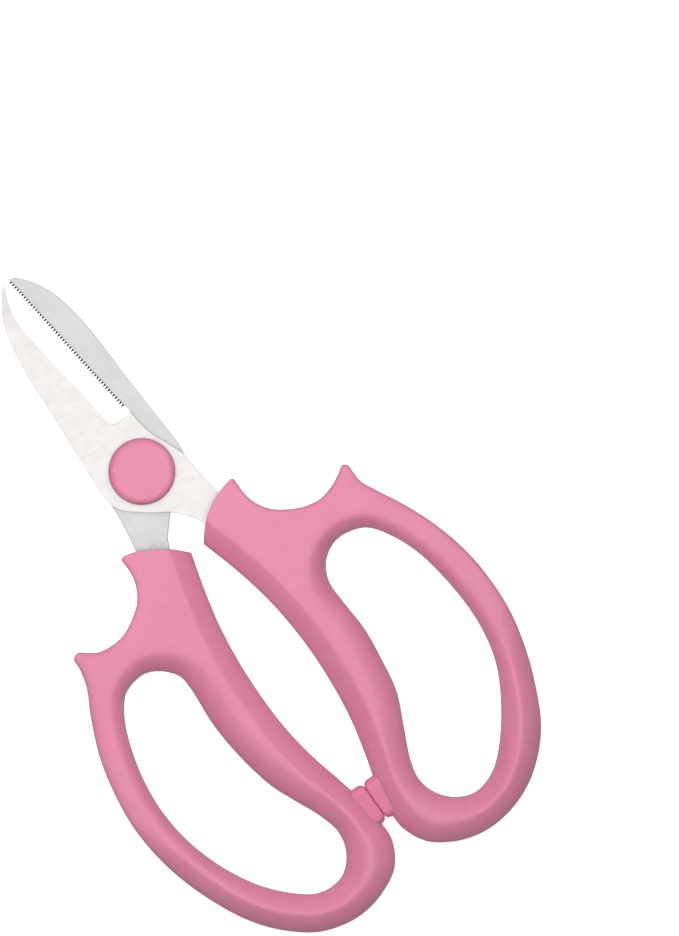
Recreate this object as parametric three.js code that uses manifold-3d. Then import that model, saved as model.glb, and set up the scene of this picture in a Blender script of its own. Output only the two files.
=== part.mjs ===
// Floral snips: two bypass blades on a friction pivot, each set into a moulded loop handle.
// Millimetres. +Z is up along the pivot axis, +Y points to the blade tips, and the origin is on
// the pivot axis in the plane that the closed snips lie on.

import * as THREE from 'three';
import { mergeVertices } from 'three/addons/utils/BufferGeometryUtils.js';
import Module from 'manifold-3d';

const wasm = await Module();
wasm.setup();

// ---------------------------------------------------------------- driving dimensions

const THICKNESS = 12; // over the handles and over the two pivot caps
const MID_Z = THICKNESS / 2; // the plane in which the blades pass each other
const RUNNING_FIT = 0.05; // clearance between pieces that turn on each other
const SEAT_GAP = 0.1; // clearance of a piece in its moulded seat
const CIRCLE_SIDES = 32;
const CHAMFER = 0.3; // of the screw's head and thread end

const BLADE_THICKNESS = 2.4;
const BLADE_SPACE = 0.3; // between the blades, taken up at the pivot by the friction washer
const EDGE_LAND = 0.15; // thickness left at the cutting edge
const EDGE_HEEL = [5.9, 16]; // the cutting edge is straight from here ...
const EDGE_END = [0.5, 58]; // ... to here, just short of the tip
const SERRATION_COUNT = 50;
const SERRATION_DEPTH = 0.35;
const SERRATION_FILL = 0.6; // part of the pitch that a notch takes
const BEVEL_WIDTH = 5.9; // ground bevel, measured square to the cutting edge
const BEVEL_STATIONS = [ // along the edge as a share of its length, then share of full width
  [-0.052, 1], [0.755, 0.97], [0.845, 0.86], [0.915, 0.68], [0.975, 0.42], [1.03, 0.3],
];

const SCREW_RADIUS = 2.5;
const THREAD_RADIUS = 2;
const SCREW_HEAD_RADIUS = 4.4;
const SCREW_HEAD_HEIGHT = 1.5;
const NUT_ACROSS_FLATS = 7;
const NUT_HEIGHT = 1.9;
const THREAD_END = 0.25; // of the thread beyond the nut
const WASHER_SPACE = 0.4; // between the front blade and the screw's head
const WAVE_WASHER_RADIUS = 4.2;
const WAVE_WASHER_THICKNESS = 0.2;
const WAVE_HEIGHT = 0.08;
const FRICTION_WASHER_RADIUS = 6.5;
const WASHER_FIT = 0.02; // between the friction washer and each blade
const CAP_RADIUS = 8.35;
const CAP_EDGE_RADIUS = 1.2;
const HEAD_SEAT_DEPTH = 2.1; // in the front cap, over the screw's head
const NUT_SEAT_DEPTH = 2.3; // in the rear cap, over the nut

const LOOP_POINTS = 104; // sides of each handle's outer outline
const HOLE_POINTS = 52; // sides of each finger loop
const EDGE_ROUNDING = 5.3; // width of the sloping edge of the handles
const REST_ROUNDING = 2.6; // the same beside the finger rest
const HOLE_ROUNDING = 3.8; // the same inside the finger loops
const OUTER_SHARE = 0.55; // how two sloping edges share a narrow bar
const HOLE_SHARE = 0.4;
const EDGE_PROFILE = [[0, 0.44], [0.28, 0.78], [1, 1]]; // inset, height, both 0 to 1
const SEAT_MOUTH_Y = -10; // the tang's seats run out past the collars to here

const BUMPER_LENGTH = 11.2; // along the handle
const BUMPER_HEIGHT = 8.8;
const BUMPER_CORNER = 3.4;
const BUMPER_CROWN = 1.1; // rounding of the rim that meets the other bumper
const BUMPER_BACK = 4.5; // depth of its seat behind the contact plane
const BUMPER_Y = -100.9;
const BUMPER_SIDES = 20;
const CONTACT_X = 0.3; // plane in which the two bumpers meet
const CONTACT_GAP = 0.02; // from that plane to each bumper
const STEM_RADIUS = 1.8;
const STEM_LENGTH = 3.6;
const STEM_SIDES = 16;

// Outlines seen from above. Each is a list of points that a smooth curve runs through.

const SPINE = [
  [-0.3, 58.6], [-2, 57.7], [-4, 55.5], [-6, 52.5], [-7.7, 48.5], [-9.6, 38], [-10.4, 22],
  [-11.3, 6], [-11.5, 0], [-11.1, -2.5], [-9.8, -5], [-7, -7.5], [-3.7, -10], [0, -12.4],
  [2.2, -14.8], [4.4, -17.6], [6.2, -21.5],
];
const TANG = [[8.4, -30], [10.6, -43], [12, -46], [15, -47], [17.2, -45.4], [17.4, -42]];
const HEEL = [
  [15.6, -31], [13.8, -21.5], [12.6, -14.7], [11.8, -9], [11.3, -5], [11.2, -2.7], [10.4, -0.5],
  [9, 2.8], [7.6, 6], [6.6, 10], [6.2, 13.8],
];

const LEFT_OUTLINE = [
  [-20, -122.3], [-12.2, -121.2], [-5.1, -117.4], [-1.6, -111.4], [-1.4, -106.5], [-2.2, -98.5],
  [-3.9, -91], [-6, -82.3], [-7.4, -73], [-7.8, -62], [-7.3, -51.5], [-6.2, -42.7],
  [-4.3, -33.9], [-2.4, -26.7], [-0.6, -20.5], [0.4, -16.5], [-3, -12], [-9, -9.5],
  [-15, -10], [-17.1, -13.5], [-16.9, -17.5], [-17.6, -22.3], [-19.9, -26.2], [-23.1, -28.7],
  [-27.3, -30.8], [-31, -31.3], [-35, -30.7], [-37.6, -29], [-39.4, -27.85], [-40.9, -28.7],
  [-41.1, -31.5], [-42.3, -36.2], [-45.6, -42.7], [-49.7, -52.7], [-52, -63], [-52.8, -73],
  [-51.6, -84.4], [-48.6, -94.8], [-43.1, -106.5], [-37.2, -114], [-29.3, -120],
];
const LEFT_HOLE = [
  [-30.1, -41.75], [-35, -43.1], [-38.5, -47.2], [-41.4, -53.5], [-43.9, -63], [-44.7, -72],
  [-43.8, -81.5], [-41, -91], [-36, -100.7], [-30.2, -107.5], [-24.8, -111.5], [-20.2, -112.25],
  [-16.2, -111.1], [-12.7, -107.1], [-11.5, -101.9], [-13.1, -95.7], [-16, -89.2],
  [-18.7, -82.75], [-20.9, -72.3], [-21.75, -62], [-21.2, -51.5], [-21.6, -47.6], [-23.9, -44.4],
  [-27.2, -42.2],
];
const LEFT_COLLAR = [[-19, -14.5], [-15, -14.9], [-12.3, -15.8], [-7.5, -18.6], [-4.3, -20.9],
  [-1.5, -23.7], [1.5, -28]];

const RIGHT_OUTLINE = [
  [21.7, -123], [29.8, -121.5], [37.4, -117.5], [44.8, -110.1], [50.1, -100], [53.8, -89.4],
  [55.6, -80.2], [55.9, -72], [55.2, -63.5], [52.75, -53.5], [49, -44.3], [45.1, -36.9],
  [43.4, -33.2], [43.2, -30.2], [43.1, -28.2], [41.9, -27.3], [39.8, -28.6], [36.5, -30.2],
  [32.3, -31.1], [27.75, -30.2], [24, -28.3], [21.1, -26.1], [18.9, -22.9], [17.9, -19.5],
  [17.8, -16], [18, -12.5], [15.5, -9], [9, -8.5], [3, -11], [-0.4, -15.5], [0.8, -20],
  [3, -26.5], [5.25, -34.3], [7.1, -42.7], [8.2, -50.5], [8.75, -60.5], [8.3, -71.5],
  [7.1, -81.1], [5, -90.25], [2.7, -99], [1.95, -106.5], [2.3, -110.8], [5, -116.3],
  [10.1, -120.2], [15.8, -122.4],
];
const RIGHT_HOLE = [
  [31.9, -41.75], [27.75, -42.6], [24.3, -45.4], [22.5, -49.5], [22.5, -55], [23, -64],
  [22.3, -71.4], [20.6, -81.5], [17.1, -89.6], [13.6, -97.6], [12.6, -102.7], [13.8, -107.3],
  [17.3, -111.5], [22.3, -113.45], [28.2, -112], [34.2, -107], [41.5, -97.1], [45.5, -88.6],
  [47.3, -78.5], [47, -67.7], [44.9, -56], [41.5, -48.2], [37.75, -43.5],
];
const RIGHT_COLLAR = [[20, -13.8], [16, -14.4], [12.3, -15.4], [9, -17.1], [5.1, -20.1],
  [2.1, -23.7], [-1.2, -28]];

// ---------------------------------------------------------------- derived heights

const REAR_BLADE_TOP = MID_Z - BLADE_SPACE / 2;
const FRONT_BLADE_BASE = MID_Z + BLADE_SPACE / 2;
const FRONT_BLADE_TOP = FRONT_BLADE_BASE + BLADE_THICKNESS;
const CAP_BASE = FRONT_BLADE_TOP + RUNNING_FIT; // of the front cap; the rear one mirrors it
const HEAD_BASE = FRONT_BLADE_TOP + WASHER_SPACE;
const REAR_BLADE_BASE = REAR_BLADE_TOP - BLADE_THICKNESS;
const HOLE_RADIUS = SCREW_RADIUS + RUNNING_FIT;
const NUT_CORNER_RADIUS = NUT_ACROSS_FLATS / Math.sqrt(3);

// ---------------------------------------------------------------- materials

const pinkPlastic = new THREE.MeshStandardMaterial({ color: 0xe598b2, roughness: 0.42, metalness: 0 });
const pinkPad = new THREE.MeshStandardMaterial({ color: 0xe08fac, roughness: 0.55, metalness: 0 });
const bladeSteel = new THREE.MeshStandardMaterial({ color: 0xe6e6e6, roughness: 0.3, metalness: 1 });
const screwSteel = new THREE.MeshStandardMaterial({ color: 0xbcbec0, roughness: 0.35, metalness: 1 });
const whiteNylon = new THREE.MeshStandardMaterial({ color: 0xf0efe9, roughness: 0.6, metalness: 0 });

// ---------------------------------------------------------------- curves and outlines

function smoothPoints(controls, count, closed) {
  const points = controls.map(([x, y]) => new THREE.Vector3(x, y, 0));
  const curve = new THREE.CatmullRomCurve3(points, closed, 'centripetal');
  const samples = curve.getSpacedPoints(count).map((p) => new THREE.Vector2(p.x, p.y));
  return closed ? samples.slice(0, -1) : samples;
}

function turned(points, counterClockwise) {
  const isCounterClockwise = !THREE.ShapeUtils.isClockWise(points);
  return isCounterClockwise === counterClockwise ? points : [...points].reverse();
}

// Unit normals on the left of a closed loop's direction of travel.
function leftNormals(loop) {
  return loop.map((point, i) => {
    const before = loop.at(i - 1);
    const after = loop[(i + 1) % loop.length];
    return new THREE.Vector2(before.y - after.y, after.x - before.x).normalize();
  });
}

function mirrored(points) {
  return points.map((p) => new THREE.Vector2(-p.x, p.y));
}

// ---------------------------------------------------------------- solids

function prism(points, base, top) {
  const geometry = new THREE.ExtrudeGeometry(new THREE.Shape(points), {
    depth: top - base,
    bevelEnabled: false,
  });
  return geometry.translate(0, 0, base);
}

// A turned piece on the pivot axis; the profile lists [radius, height] and closes on itself.
function turnedPiece(profile) {
  const closed = [...profile, profile[0]].map(([radius, height]) => new THREE.Vector2(radius, height));
  return new THREE.LatheGeometry(closed, CIRCLE_SIDES).rotateX(Math.PI / 2);
}

function turnedDisc(radius, base, top) {
  return turnedPiece([[0, base], [radius, base], [radius, top], [0, top]]);
}

// A closed mesh through equal rings of 3-D points, with a flat fan at each end.
function loft(rings) {
  const size = rings[0].length;
  const indices = [];
  for (let level = 0; level < rings.length - 1; level += 1) {
    addStrip(indices, level * size, (level + 1) * size, size);
  }
  const last = (rings.length - 1) * size;
  for (let i = 1; i < size - 1; i += 1) {
    indices.push(0, i + 1, i);
    indices.push(last, last + i, last + i + 1);
  }
  return meshedGeometry(rings.flat(), indices);
}

function addStrip(indices, lower, upper, size) {
  for (let i = 0; i < size; i += 1) {
    const next = (i + 1) % size;
    indices.push(lower + i, lower + next, upper + next);
    indices.push(lower + i, upper + next, upper + i);
  }
}

function meshedGeometry(points, indices) {
  const geometry = new THREE.BufferGeometry().setFromPoints(points);
  geometry.setIndex(indices);
  return geometry;
}

function toManifold(geometry) {
  const bare = geometry.clone();
  bare.deleteAttribute('normal');
  bare.deleteAttribute('uv');
  const merged = mergeVertices(bare, 1e-5);
  return new wasm.Manifold(new wasm.Mesh({
    numProp: 3,
    vertProperties: new Float32Array(merged.attributes.position.array),
    triVerts: new Uint32Array(merged.index.array),
  }));
}

function toGeometry(manifold) {
  const { vertProperties, triVerts } = manifold.getMesh();
  const geometry = new THREE.BufferGeometry();
  geometry.setAttribute('position', new THREE.BufferAttribute(vertProperties, 3));
  geometry.setIndex(new THREE.BufferAttribute(triVerts, 1));
  return geometry;
}

function cut(base, ...tools) {
  const result = tools.reduce((body, tool) => body.subtract(toManifold(tool)), toManifold(base));
  return toGeometry(result);
}

function join(base, ...pieces) {
  const result = pieces.reduce((body, piece) => body.add(toManifold(piece)), toManifold(base));
  return toGeometry(result);
}

function piece(name, geometry, material) {
  geometry.computeVertexNormals();
  const mesh = new THREE.Mesh(geometry, material);
  mesh.name = name;
  return mesh;
}

// ---------------------------------------------------------------- blades

const edgeHeel = new THREE.Vector2(...EDGE_HEEL);
const edgeEnd = new THREE.Vector2(...EDGE_END);
const edgeLength = edgeHeel.distanceTo(edgeEnd);
const alongEdge = edgeEnd.clone().sub(edgeHeel).normalize();
const intoBlade = new THREE.Vector2(-alongEdge.y, alongEdge.x);

function onEdge(along, inward) {
  return edgeHeel.clone().addScaledVector(alongEdge, along).addScaledVector(intoBlade, inward);
}

// The cutting edge from heel to tip, with a row of small notches when it is serrated.
function edgePoints(serrated) {
  if (!serrated) return [onEdge(0, 0), onEdge(edgeLength, 0)];
  const pitch = edgeLength / SERRATION_COUNT;
  const points = [];
  for (let i = 0; i < SERRATION_COUNT; i += 1) {
    const start = i * pitch;
    points.push(onEdge(start, 0));
    points.push(onEdge(start + pitch * SERRATION_FILL * 0.25, SERRATION_DEPTH));
    points.push(onEdge(start + pitch * SERRATION_FILL * 0.75, SERRATION_DEPTH));
    points.push(onEdge(start + pitch * SERRATION_FILL, 0));
  }
  return points;
}

const spineEdge = smoothPoints(SPINE, 32, false);
const tangEdge = smoothPoints([SPINE.at(-1), ...TANG, HEEL[0]], 12, false).slice(1, -1);
const heelEdge = smoothPoints(HEEL, 16, false);

// The stone's path: it leaves a wedge from the cutting edge up to the bevel line, which runs
// beside the edge and turns in to the point over the last few millimetres.
function bevelTool() {
  const outside = 3;
  const above = 1;
  return loft(BEVEL_STATIONS.map(([along, share]) => {
    const width = BEVEL_WIDTH * share;
    const slope = (BLADE_THICKNESS - EDGE_LAND) / width;
    const section = [
      [-outside, EDGE_LAND - slope * outside],
      [width + above / slope, BLADE_THICKNESS + above],
      [-outside, BLADE_THICKNESS + above],
    ];
    return section.map(([inward, height]) => {
      const place = onEdge(along * edgeLength, inward);
      return new THREE.Vector3(place.x, place.y, height);
    });
  }));
}

function bladeSolid(serrated) {
  const outline = [...spineEdge, ...tangEdge, ...heelEdge, ...edgePoints(serrated)];
  const body = prism(outline, 0, BLADE_THICKNESS);
  return cut(body, bevelTool(), turnedDisc(HOLE_RADIUS, -1, BLADE_THICKNESS + 1));
}

function frontBlade() {
  return bladeSolid(true).translate(0, 0, FRONT_BLADE_BASE);
}

function rearBlade() {
  return bladeSolid(false).rotateY(Math.PI).translate(0, 0, REAR_BLADE_TOP);
}

// ---------------------------------------------------------------- handles

function edgeWidth(point) {
  const besideRest = THREE.MathUtils.smoothstep(point.y, -46, -34)
    * THREE.MathUtils.smoothstep(Math.abs(point.x), 12, 17);
  return THREE.MathUtils.lerp(EDGE_ROUNDING, REST_ROUNDING, besideRest);
}

// Radius of the largest circle inside the shape that touches the loop at one point and stays
// clear of every point of another loop.
function clearRadius(point, normal, others) {
  let radius = Infinity;
  for (const other of others) {
    const offset = other.clone().sub(point);
    const depth = offset.dot(normal);
    if (depth > 0.05) radius = Math.min(radius, offset.lengthSq() / (2 * depth));
  }
  return radius;
}

// How far the sloping edge reaches in from each point of a loop. It narrows at tight corners,
// and where the other loop is near, the two edges share the bar between them.
function edgeReach(loop, normals, otherLoop, share, wanted) {
  const limit = loop.map((point, i) => {
    const ownRadius = clearRadius(point, normals[i], loop);
    const barWidth = 2 * clearRadius(point, normals[i], otherLoop);
    return Math.min(wanted(point), 0.85 * ownRadius, share * barWidth);
  });
  const count = loop.length;
  const spread = [-2, -1, 0, 1, 2];
  const narrowest = limit.map((_, i) => Math.min(...spread.map((d) => limit.at((i + d) % count))));
  return narrowest.map((_, i) => (
    spread.reduce((sum, d) => sum + narrowest.at((i + d) % count), 0) / spread.length
  ));
}

// Every ring of one loop from the underside to the top face.
function loopRings(loop, otherLoop, share, wanted) {
  const normals = leftNormals(loop);
  const reach = edgeReach(loop, normals, otherLoop, share, wanted);
  const under = [...EDGE_PROFILE].reverse().map(([inset, height]) => [inset, -height]);
  return [...under, ...EDGE_PROFILE].map(([inset, height]) => loop.map((point, i) => {
    const moved = point.clone().addScaledVector(normals[i], inset * reach[i]);
    return new THREE.Vector3(moved.x, moved.y, MID_Z * (1 + height));
  }));
}

// A flat moulding with rounded edges inside an outline and around one hole.
function moulding(outline, holeOutline) {
  const outer = turned(smoothPoints(outline, LOOP_POINTS, true), true);
  const hole = turned(smoothPoints(holeOutline, HOLE_POINTS, true), false);
  const outerRings = loopRings(outer, hole, OUTER_SHARE, edgeWidth);
  const holeRings = loopRings(hole, outer, HOLE_SHARE, () => HOLE_ROUNDING);
  const points = [];
  const indices = [];
  const levels = outerRings.map((ring, level) => {
    const start = points.length;
    points.push(...ring, ...holeRings[level]);
    return start;
  });
  for (let level = 0; level < levels.length - 1; level += 1) {
    addStrip(indices, levels[level], levels[level + 1], outer.length);
    addStrip(indices, levels[level] + outer.length, levels[level + 1] + outer.length, hole.length);
  }
  addFace(indices, levels.at(-1), outerRings.at(-1), holeRings.at(-1), false);
  addFace(indices, levels[0], outerRings[0], holeRings[0], true);
  return meshedGeometry(points, indices);
}

function addFace(indices, start, outerRing, holeRing, facesDown) {
  for (const [a, b, c] of THREE.ShapeUtils.triangulateShape(outerRing, [holeRing])) {
    const corners = facesDown ? [a, c, b] : [a, b, c];
    indices.push(...corners.map((corner) => corner + start));
  }
}

// The room in front of a handle's collar, out to beyond the end of its moulding.
function collarTool(collar) {
  const edge = smoothPoints(collar, 16, false);
  const far = [new THREE.Vector2(edge.at(-1).x, 0), new THREE.Vector2(edge[0].x, 0)];
  return prism([...edge, ...far], -1, THICKNESS + 1);
}

// The tang's seat: its outline, made larger all round and run out through the collar.
function tangSeat(mirror) {
  const inHandle = (point) => point.y < SEAT_MOUTH_Y;
  const loop = [...spineEdge.filter(inHandle), ...tangEdge, ...heelEdge.filter(inHandle)];
  const normals = leftNormals(loop);
  const larger = loop.map((point, i) => point.clone().addScaledVector(normals[i], -SEAT_GAP));
  const base = mirror ? REAR_BLADE_BASE : FRONT_BLADE_BASE;
  return prism(mirror ? mirrored(larger) : larger, base - SEAT_GAP, base + BLADE_THICKNESS + SEAT_GAP);
}

// ---------------------------------------------------------------- bumpers

// A bumper stands out along +X from the middle of its back face; grow makes its seat.
function bumperSolid(grow) {
  const frontX = BUMPER_BACK - CONTACT_GAP;
  const ring = (x, inset) => {
    const corner = Math.max(BUMPER_CORNER + grow - inset, 0.5);
    const halfLength = BUMPER_LENGTH / 2 + grow - inset - corner;
    const halfHeight = BUMPER_HEIGHT / 2 + grow - inset - corner;
    const points = [];
    for (let i = 0; i < BUMPER_SIDES; i += 1) {
      const angle = ((i + 0.5) / BUMPER_SIDES) * Math.PI * 2;
      const y = Math.sign(Math.cos(angle)) * halfLength + Math.cos(angle) * corner;
      const z = Math.sign(Math.sin(angle)) * halfHeight + Math.sin(angle) * corner;
      points.push(new THREE.Vector3(x, y, z));
    }
    return points;
  };
  const crown = [0, 30, 60, 90].map((degrees) => {
    const angle = THREE.MathUtils.degToRad(degrees);
    return ring(
      frontX - BUMPER_CROWN * (1 - Math.sin(angle)),
      BUMPER_CROWN * (1 - Math.cos(angle)),
    );
  });
  return loft(grow > 0 ? [ring(-grow, 0), ring(frontX + 1, 0)] : [ring(0, 0), ...crown]);
}

function bumperStem(grow) {
  const reach = STEM_LENGTH + grow;
  const overlap = 0.5;
  return new THREE.CylinderGeometry(STEM_RADIUS + grow, STEM_RADIUS + grow, reach + overlap, STEM_SIDES)
    .rotateZ(Math.PI / 2)
    .translate((overlap - reach) / 2, 0, 0);
}

// side is -1 for the left handle and 1 for the right one.
function placeBumper(geometry, side) {
  const turn = side < 0 ? 0 : Math.PI;
  return geometry.rotateZ(turn).translate(CONTACT_X + side * BUMPER_BACK, BUMPER_Y, MID_Z);
}

function bumper(side) {
  return placeBumper(join(bumperSolid(0), bumperStem(0)), side);
}

function handle(outline, holeOutline, collar, side) {
  return cut(
    moulding(outline, holeOutline),
    collarTool(collar),
    tangSeat(side < 0),
    placeBumper(join(bumperSolid(SEAT_GAP), bumperStem(SEAT_GAP)), side),
  );
}

// ---------------------------------------------------------------- pivot

// A cap with a rounded rim and a round seat for the screw's head or nut, face up.
function pivotCap(seatRadius, seatDepth) {
  const height = THICKNESS - CAP_BASE;
  const rim = [0, 22.5, 45, 67.5, 90].map((degrees) => {
    const angle = THREE.MathUtils.degToRad(degrees);
    return [
      CAP_RADIUS - CAP_EDGE_RADIUS * (1 - Math.cos(angle)),
      height - CAP_EDGE_RADIUS * (1 - Math.sin(angle)),
    ];
  });
  return turnedPiece([[0, seatDepth], [seatRadius, seatDepth], [seatRadius, 0], [CAP_RADIUS, 0],
    ...rim, [0, height]]);
}

function screw() {
  const threadEnd = REAR_BLADE_BASE - NUT_HEIGHT - THREAD_END;
  const headTop = HEAD_BASE + SCREW_HEAD_HEIGHT;
  return turnedPiece([
    [0, threadEnd], [THREAD_RADIUS - CHAMFER, threadEnd], [THREAD_RADIUS, threadEnd + CHAMFER],
    [THREAD_RADIUS, REAR_BLADE_BASE + SEAT_GAP], [SCREW_RADIUS, REAR_BLADE_BASE + SEAT_GAP],
    [SCREW_RADIUS, HEAD_BASE], [SCREW_HEAD_RADIUS, HEAD_BASE],
    [SCREW_HEAD_RADIUS, headTop - CHAMFER], [SCREW_HEAD_RADIUS - CHAMFER, headTop], [0, headTop],
  ]);
}

function nut() {
  const top = REAR_BLADE_BASE - RUNNING_FIT;
  const body = new THREE.CylinderGeometry(NUT_CORNER_RADIUS, NUT_CORNER_RADIUS, NUT_HEIGHT, 6)
    .rotateX(Math.PI / 2)
    .translate(0, 0, top - NUT_HEIGHT / 2);
  return cut(body, turnedDisc(THREAD_RADIUS + RUNNING_FIT, 0, MID_Z));
}

function flatWasher(outerRadius, base, top) {
  return turnedPiece([[HOLE_RADIUS, base], [outerRadius, base], [outerRadius, top],
    [HOLE_RADIUS, top]]);
}

// Three waves round a flat ring.
function waveWasher() {
  const base = FRONT_BLADE_TOP + RUNNING_FIT;
  const geometry = flatWasher(WAVE_WASHER_RADIUS, base, base + WAVE_WASHER_THICKNESS);
  const place = geometry.attributes.position;
  for (let i = 0; i < place.count; i += 1) {
    const angle = Math.atan2(place.getY(i), place.getX(i));
    place.setZ(i, place.getZ(i) + (WAVE_HEIGHT / 2) * (1 - Math.cos(3 * angle)));
  }
  return geometry;
}

function frictionWasher() {
  return flatWasher(FRICTION_WASHER_RADIUS, REAR_BLADE_TOP + WASHER_FIT, FRONT_BLADE_BASE - WASHER_FIT);
}

function frontCap() {
  return pivotCap(SCREW_HEAD_RADIUS + RUNNING_FIT, HEAD_SEAT_DEPTH).translate(0, 0, CAP_BASE);
}

function rearCap() {
  return pivotCap(NUT_CORNER_RADIUS + RUNNING_FIT, NUT_SEAT_DEPTH)
    .rotateX(Math.PI)
    .translate(0, 0, THICKNESS - CAP_BASE);
}

// ---------------------------------------------------------------- assembly

const snips = new THREE.Group();
snips.add(
  piece('blade_rear', rearBlade(), bladeSteel),
  piece('blade_front', frontBlade(), bladeSteel),
  piece('handle_left', handle(LEFT_OUTLINE, LEFT_HOLE, LEFT_COLLAR, -1), pinkPlastic),
  piece('handle_right', handle(RIGHT_OUTLINE, RIGHT_HOLE, RIGHT_COLLAR, 1), pinkPlastic),
  piece('bumper_left', bumper(-1), pinkPad),
  piece('bumper_right', bumper(1), pinkPad),
  piece('friction_washer', frictionWasher(), whiteNylon),
  piece('pivot_screw', screw(), screwSteel),
  piece('pivot_nut', nut(), screwSteel),
  piece('spring_washer', waveWasher(), screwSteel),
  piece('cap_front', frontCap(), pinkPlastic),
  piece('cap_rear', rearCap(), pinkPlastic),
);

export default snips;
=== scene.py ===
"""Floral snips: pink moulded loop handles, bypass blades and a capped friction pivot.

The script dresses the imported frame. Every piece is built in the frame's own axes, with +Z along the
pivot, +Y to the blade tips and the snips lying on z = 0. Shapes are worked out in millimetres and
turned to metres when a mesh is made.
"""
import logging
import math
from dataclasses import dataclass, field
from enum import Enum
from functools import cache
from typing import Any, Callable, Sequence

import bpy
import numpy as np
from mathutils import Matrix, Vector
from mathutils.geometry import delaunay_2d_cdt
from mathutils.kdtree import KDTree


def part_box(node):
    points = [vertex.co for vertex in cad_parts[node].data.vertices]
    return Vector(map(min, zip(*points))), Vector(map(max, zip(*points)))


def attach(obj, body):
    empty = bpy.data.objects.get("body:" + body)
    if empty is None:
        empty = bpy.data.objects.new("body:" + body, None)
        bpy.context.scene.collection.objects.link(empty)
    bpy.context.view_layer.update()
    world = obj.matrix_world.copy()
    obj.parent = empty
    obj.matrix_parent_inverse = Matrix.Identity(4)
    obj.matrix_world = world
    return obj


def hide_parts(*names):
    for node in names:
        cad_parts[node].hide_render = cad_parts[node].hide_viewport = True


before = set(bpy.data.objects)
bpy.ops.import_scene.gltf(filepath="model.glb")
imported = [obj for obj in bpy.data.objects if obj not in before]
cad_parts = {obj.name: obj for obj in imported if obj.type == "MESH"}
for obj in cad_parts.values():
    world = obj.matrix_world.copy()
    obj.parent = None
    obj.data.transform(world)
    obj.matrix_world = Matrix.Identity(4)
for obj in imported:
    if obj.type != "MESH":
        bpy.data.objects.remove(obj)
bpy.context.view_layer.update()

LOG = logging.getLogger("floral_snips")
MM = 0.001
FINE_STEP = 0.1  # spacing in millimetres of the lines that distances are measured to
SPAN_SAMPLES = 24  # samples of a curve between two of its control points
MERGE_DISTANCE = 1e-7
DRIFT_LIMIT = 1e-4  # millimetres that triangulation may move a point of an outline
SHARP_STEEL = 8.0  # degrees of turn that make a hard edge
SHARP_PLASTIC = 40.0

Points = np.ndarray
HeightMap = Callable[[Points], np.ndarray]


# ------------------------------------------------------------------------------ small helpers


def linear(colour: str) -> tuple[float, float, float, float]:
    """Turns a colour into the linear values that shaders take.

    Args:
        colour: sRGB hex, such as "#E598B2".

    Returns:
        Linear red, green, blue and an alpha of 1.
    """
    channels = [int(colour[i : i + 2], 16) / 255 for i in (1, 3, 5)]
    lin = [c / 12.92 if c <= 0.04045 else ((c + 0.055) / 1.055) ** 2.4 for c in channels]
    return (lin[0], lin[1], lin[2], 1.0)


def add_node(
    tree: bpy.types.NodeTree, kind: str, inputs: dict[Any, Any] | None = None, **settings: Any,
) -> Any:
    """Adds one node with its settings, input values and incoming links.

    Args:
        tree: the node tree that gets the node.
        kind: the node's type name.
        inputs: input name or number, to a value or to the output socket that feeds it.
        settings: attributes of the node itself.

    Returns:
        The new node.
    """
    made = tree.nodes.new(kind)
    for name, value in settings.items():
        setattr(made, name, value)
    for key, value in (inputs or {}).items():
        socket = made.inputs[key]
        if isinstance(value, bpy.types.NodeSocket):
            tree.links.new(value, socket)
        else:
            socket.default_value = value
    return made


def soft_minimum(a: np.ndarray, b: np.ndarray, blend: np.ndarray | float) -> np.ndarray:
    """The lower of two heights, rounded off over blend where they meet."""
    gap = np.maximum(blend - np.abs(a - b), 0)
    return np.minimum(a, b) - gap * gap / (4 * blend)


# ------------------------------------------------------------------------------ curves


def smooth_curve(controls: Sequence[Sequence[float]], closed: bool, step: float) -> Points:
    """A centripetal Catmull-Rom curve through control points, evenly sampled.

    Args:
        controls: the points that the curve runs through; each may carry more than two numbers.
        closed: whether the curve returns to its first point.
        step: spacing of the samples.

    Returns:
        The samples, with the first point left off the end of a closed curve.
    """
    p = np.asarray(controls, float)
    if closed:
        p = np.vstack([p[-1], p, p[0], p[1]])
    else:
        p = np.vstack([2 * p[0] - p[1], p, 2 * p[-1] - p[-2]])
    dense = []
    for p0, p1, p2, p3 in zip(p, p[1:], p[2:], p[3:]):
        t0 = 0.0
        t1 = t0 + math.sqrt(np.linalg.norm((p1 - p0)[:2]))
        t2 = t1 + math.sqrt(np.linalg.norm((p2 - p1)[:2]))
        t3 = t2 + math.sqrt(np.linalg.norm((p3 - p2)[:2]))
        t = np.linspace(t1, t2, SPAN_SAMPLES, endpoint=False)[:, None]
        a1 = (t1 - t) / (t1 - t0) * p0 + (t - t0) / (t1 - t0) * p1
        a2 = (t2 - t) / (t2 - t1) * p1 + (t - t1) / (t2 - t1) * p2
        a3 = (t3 - t) / (t3 - t2) * p2 + (t - t2) / (t3 - t2) * p3
        b1 = (t2 - t) / (t2 - t0) * a1 + (t - t0) / (t2 - t0) * a2
        b2 = (t3 - t) / (t3 - t1) * a2 + (t - t1) / (t3 - t1) * a3
        dense.append((t2 - t) / (t2 - t1) * b1 + (t - t1) / (t2 - t1) * b2)
    line = np.vstack([*dense, p[-2]])
    return even_steps(line, step, closed)


def even_steps(line: Points, step: float, closed: bool = False) -> Points:
    """Samples a polyline at equal steps.

    Args:
        line: its points, each of which may carry more than two numbers.
        step: about the length of a step.
        closed: whether its last point is its first again, and is then left off.

    Returns:
        The samples.
    """
    pieces = np.linalg.norm(np.diff(line[:, :2], axis=0), axis=1)
    length = np.concatenate([[0], np.cumsum(pieces)])
    count = max(2, round(length[-1] / step) + 1)
    at = np.linspace(0, length[-1], count)
    even = np.stack([np.interp(at, length, line[:, k]) for k in range(line.shape[1])], axis=1)
    return even[:-1] if closed else even


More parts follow.
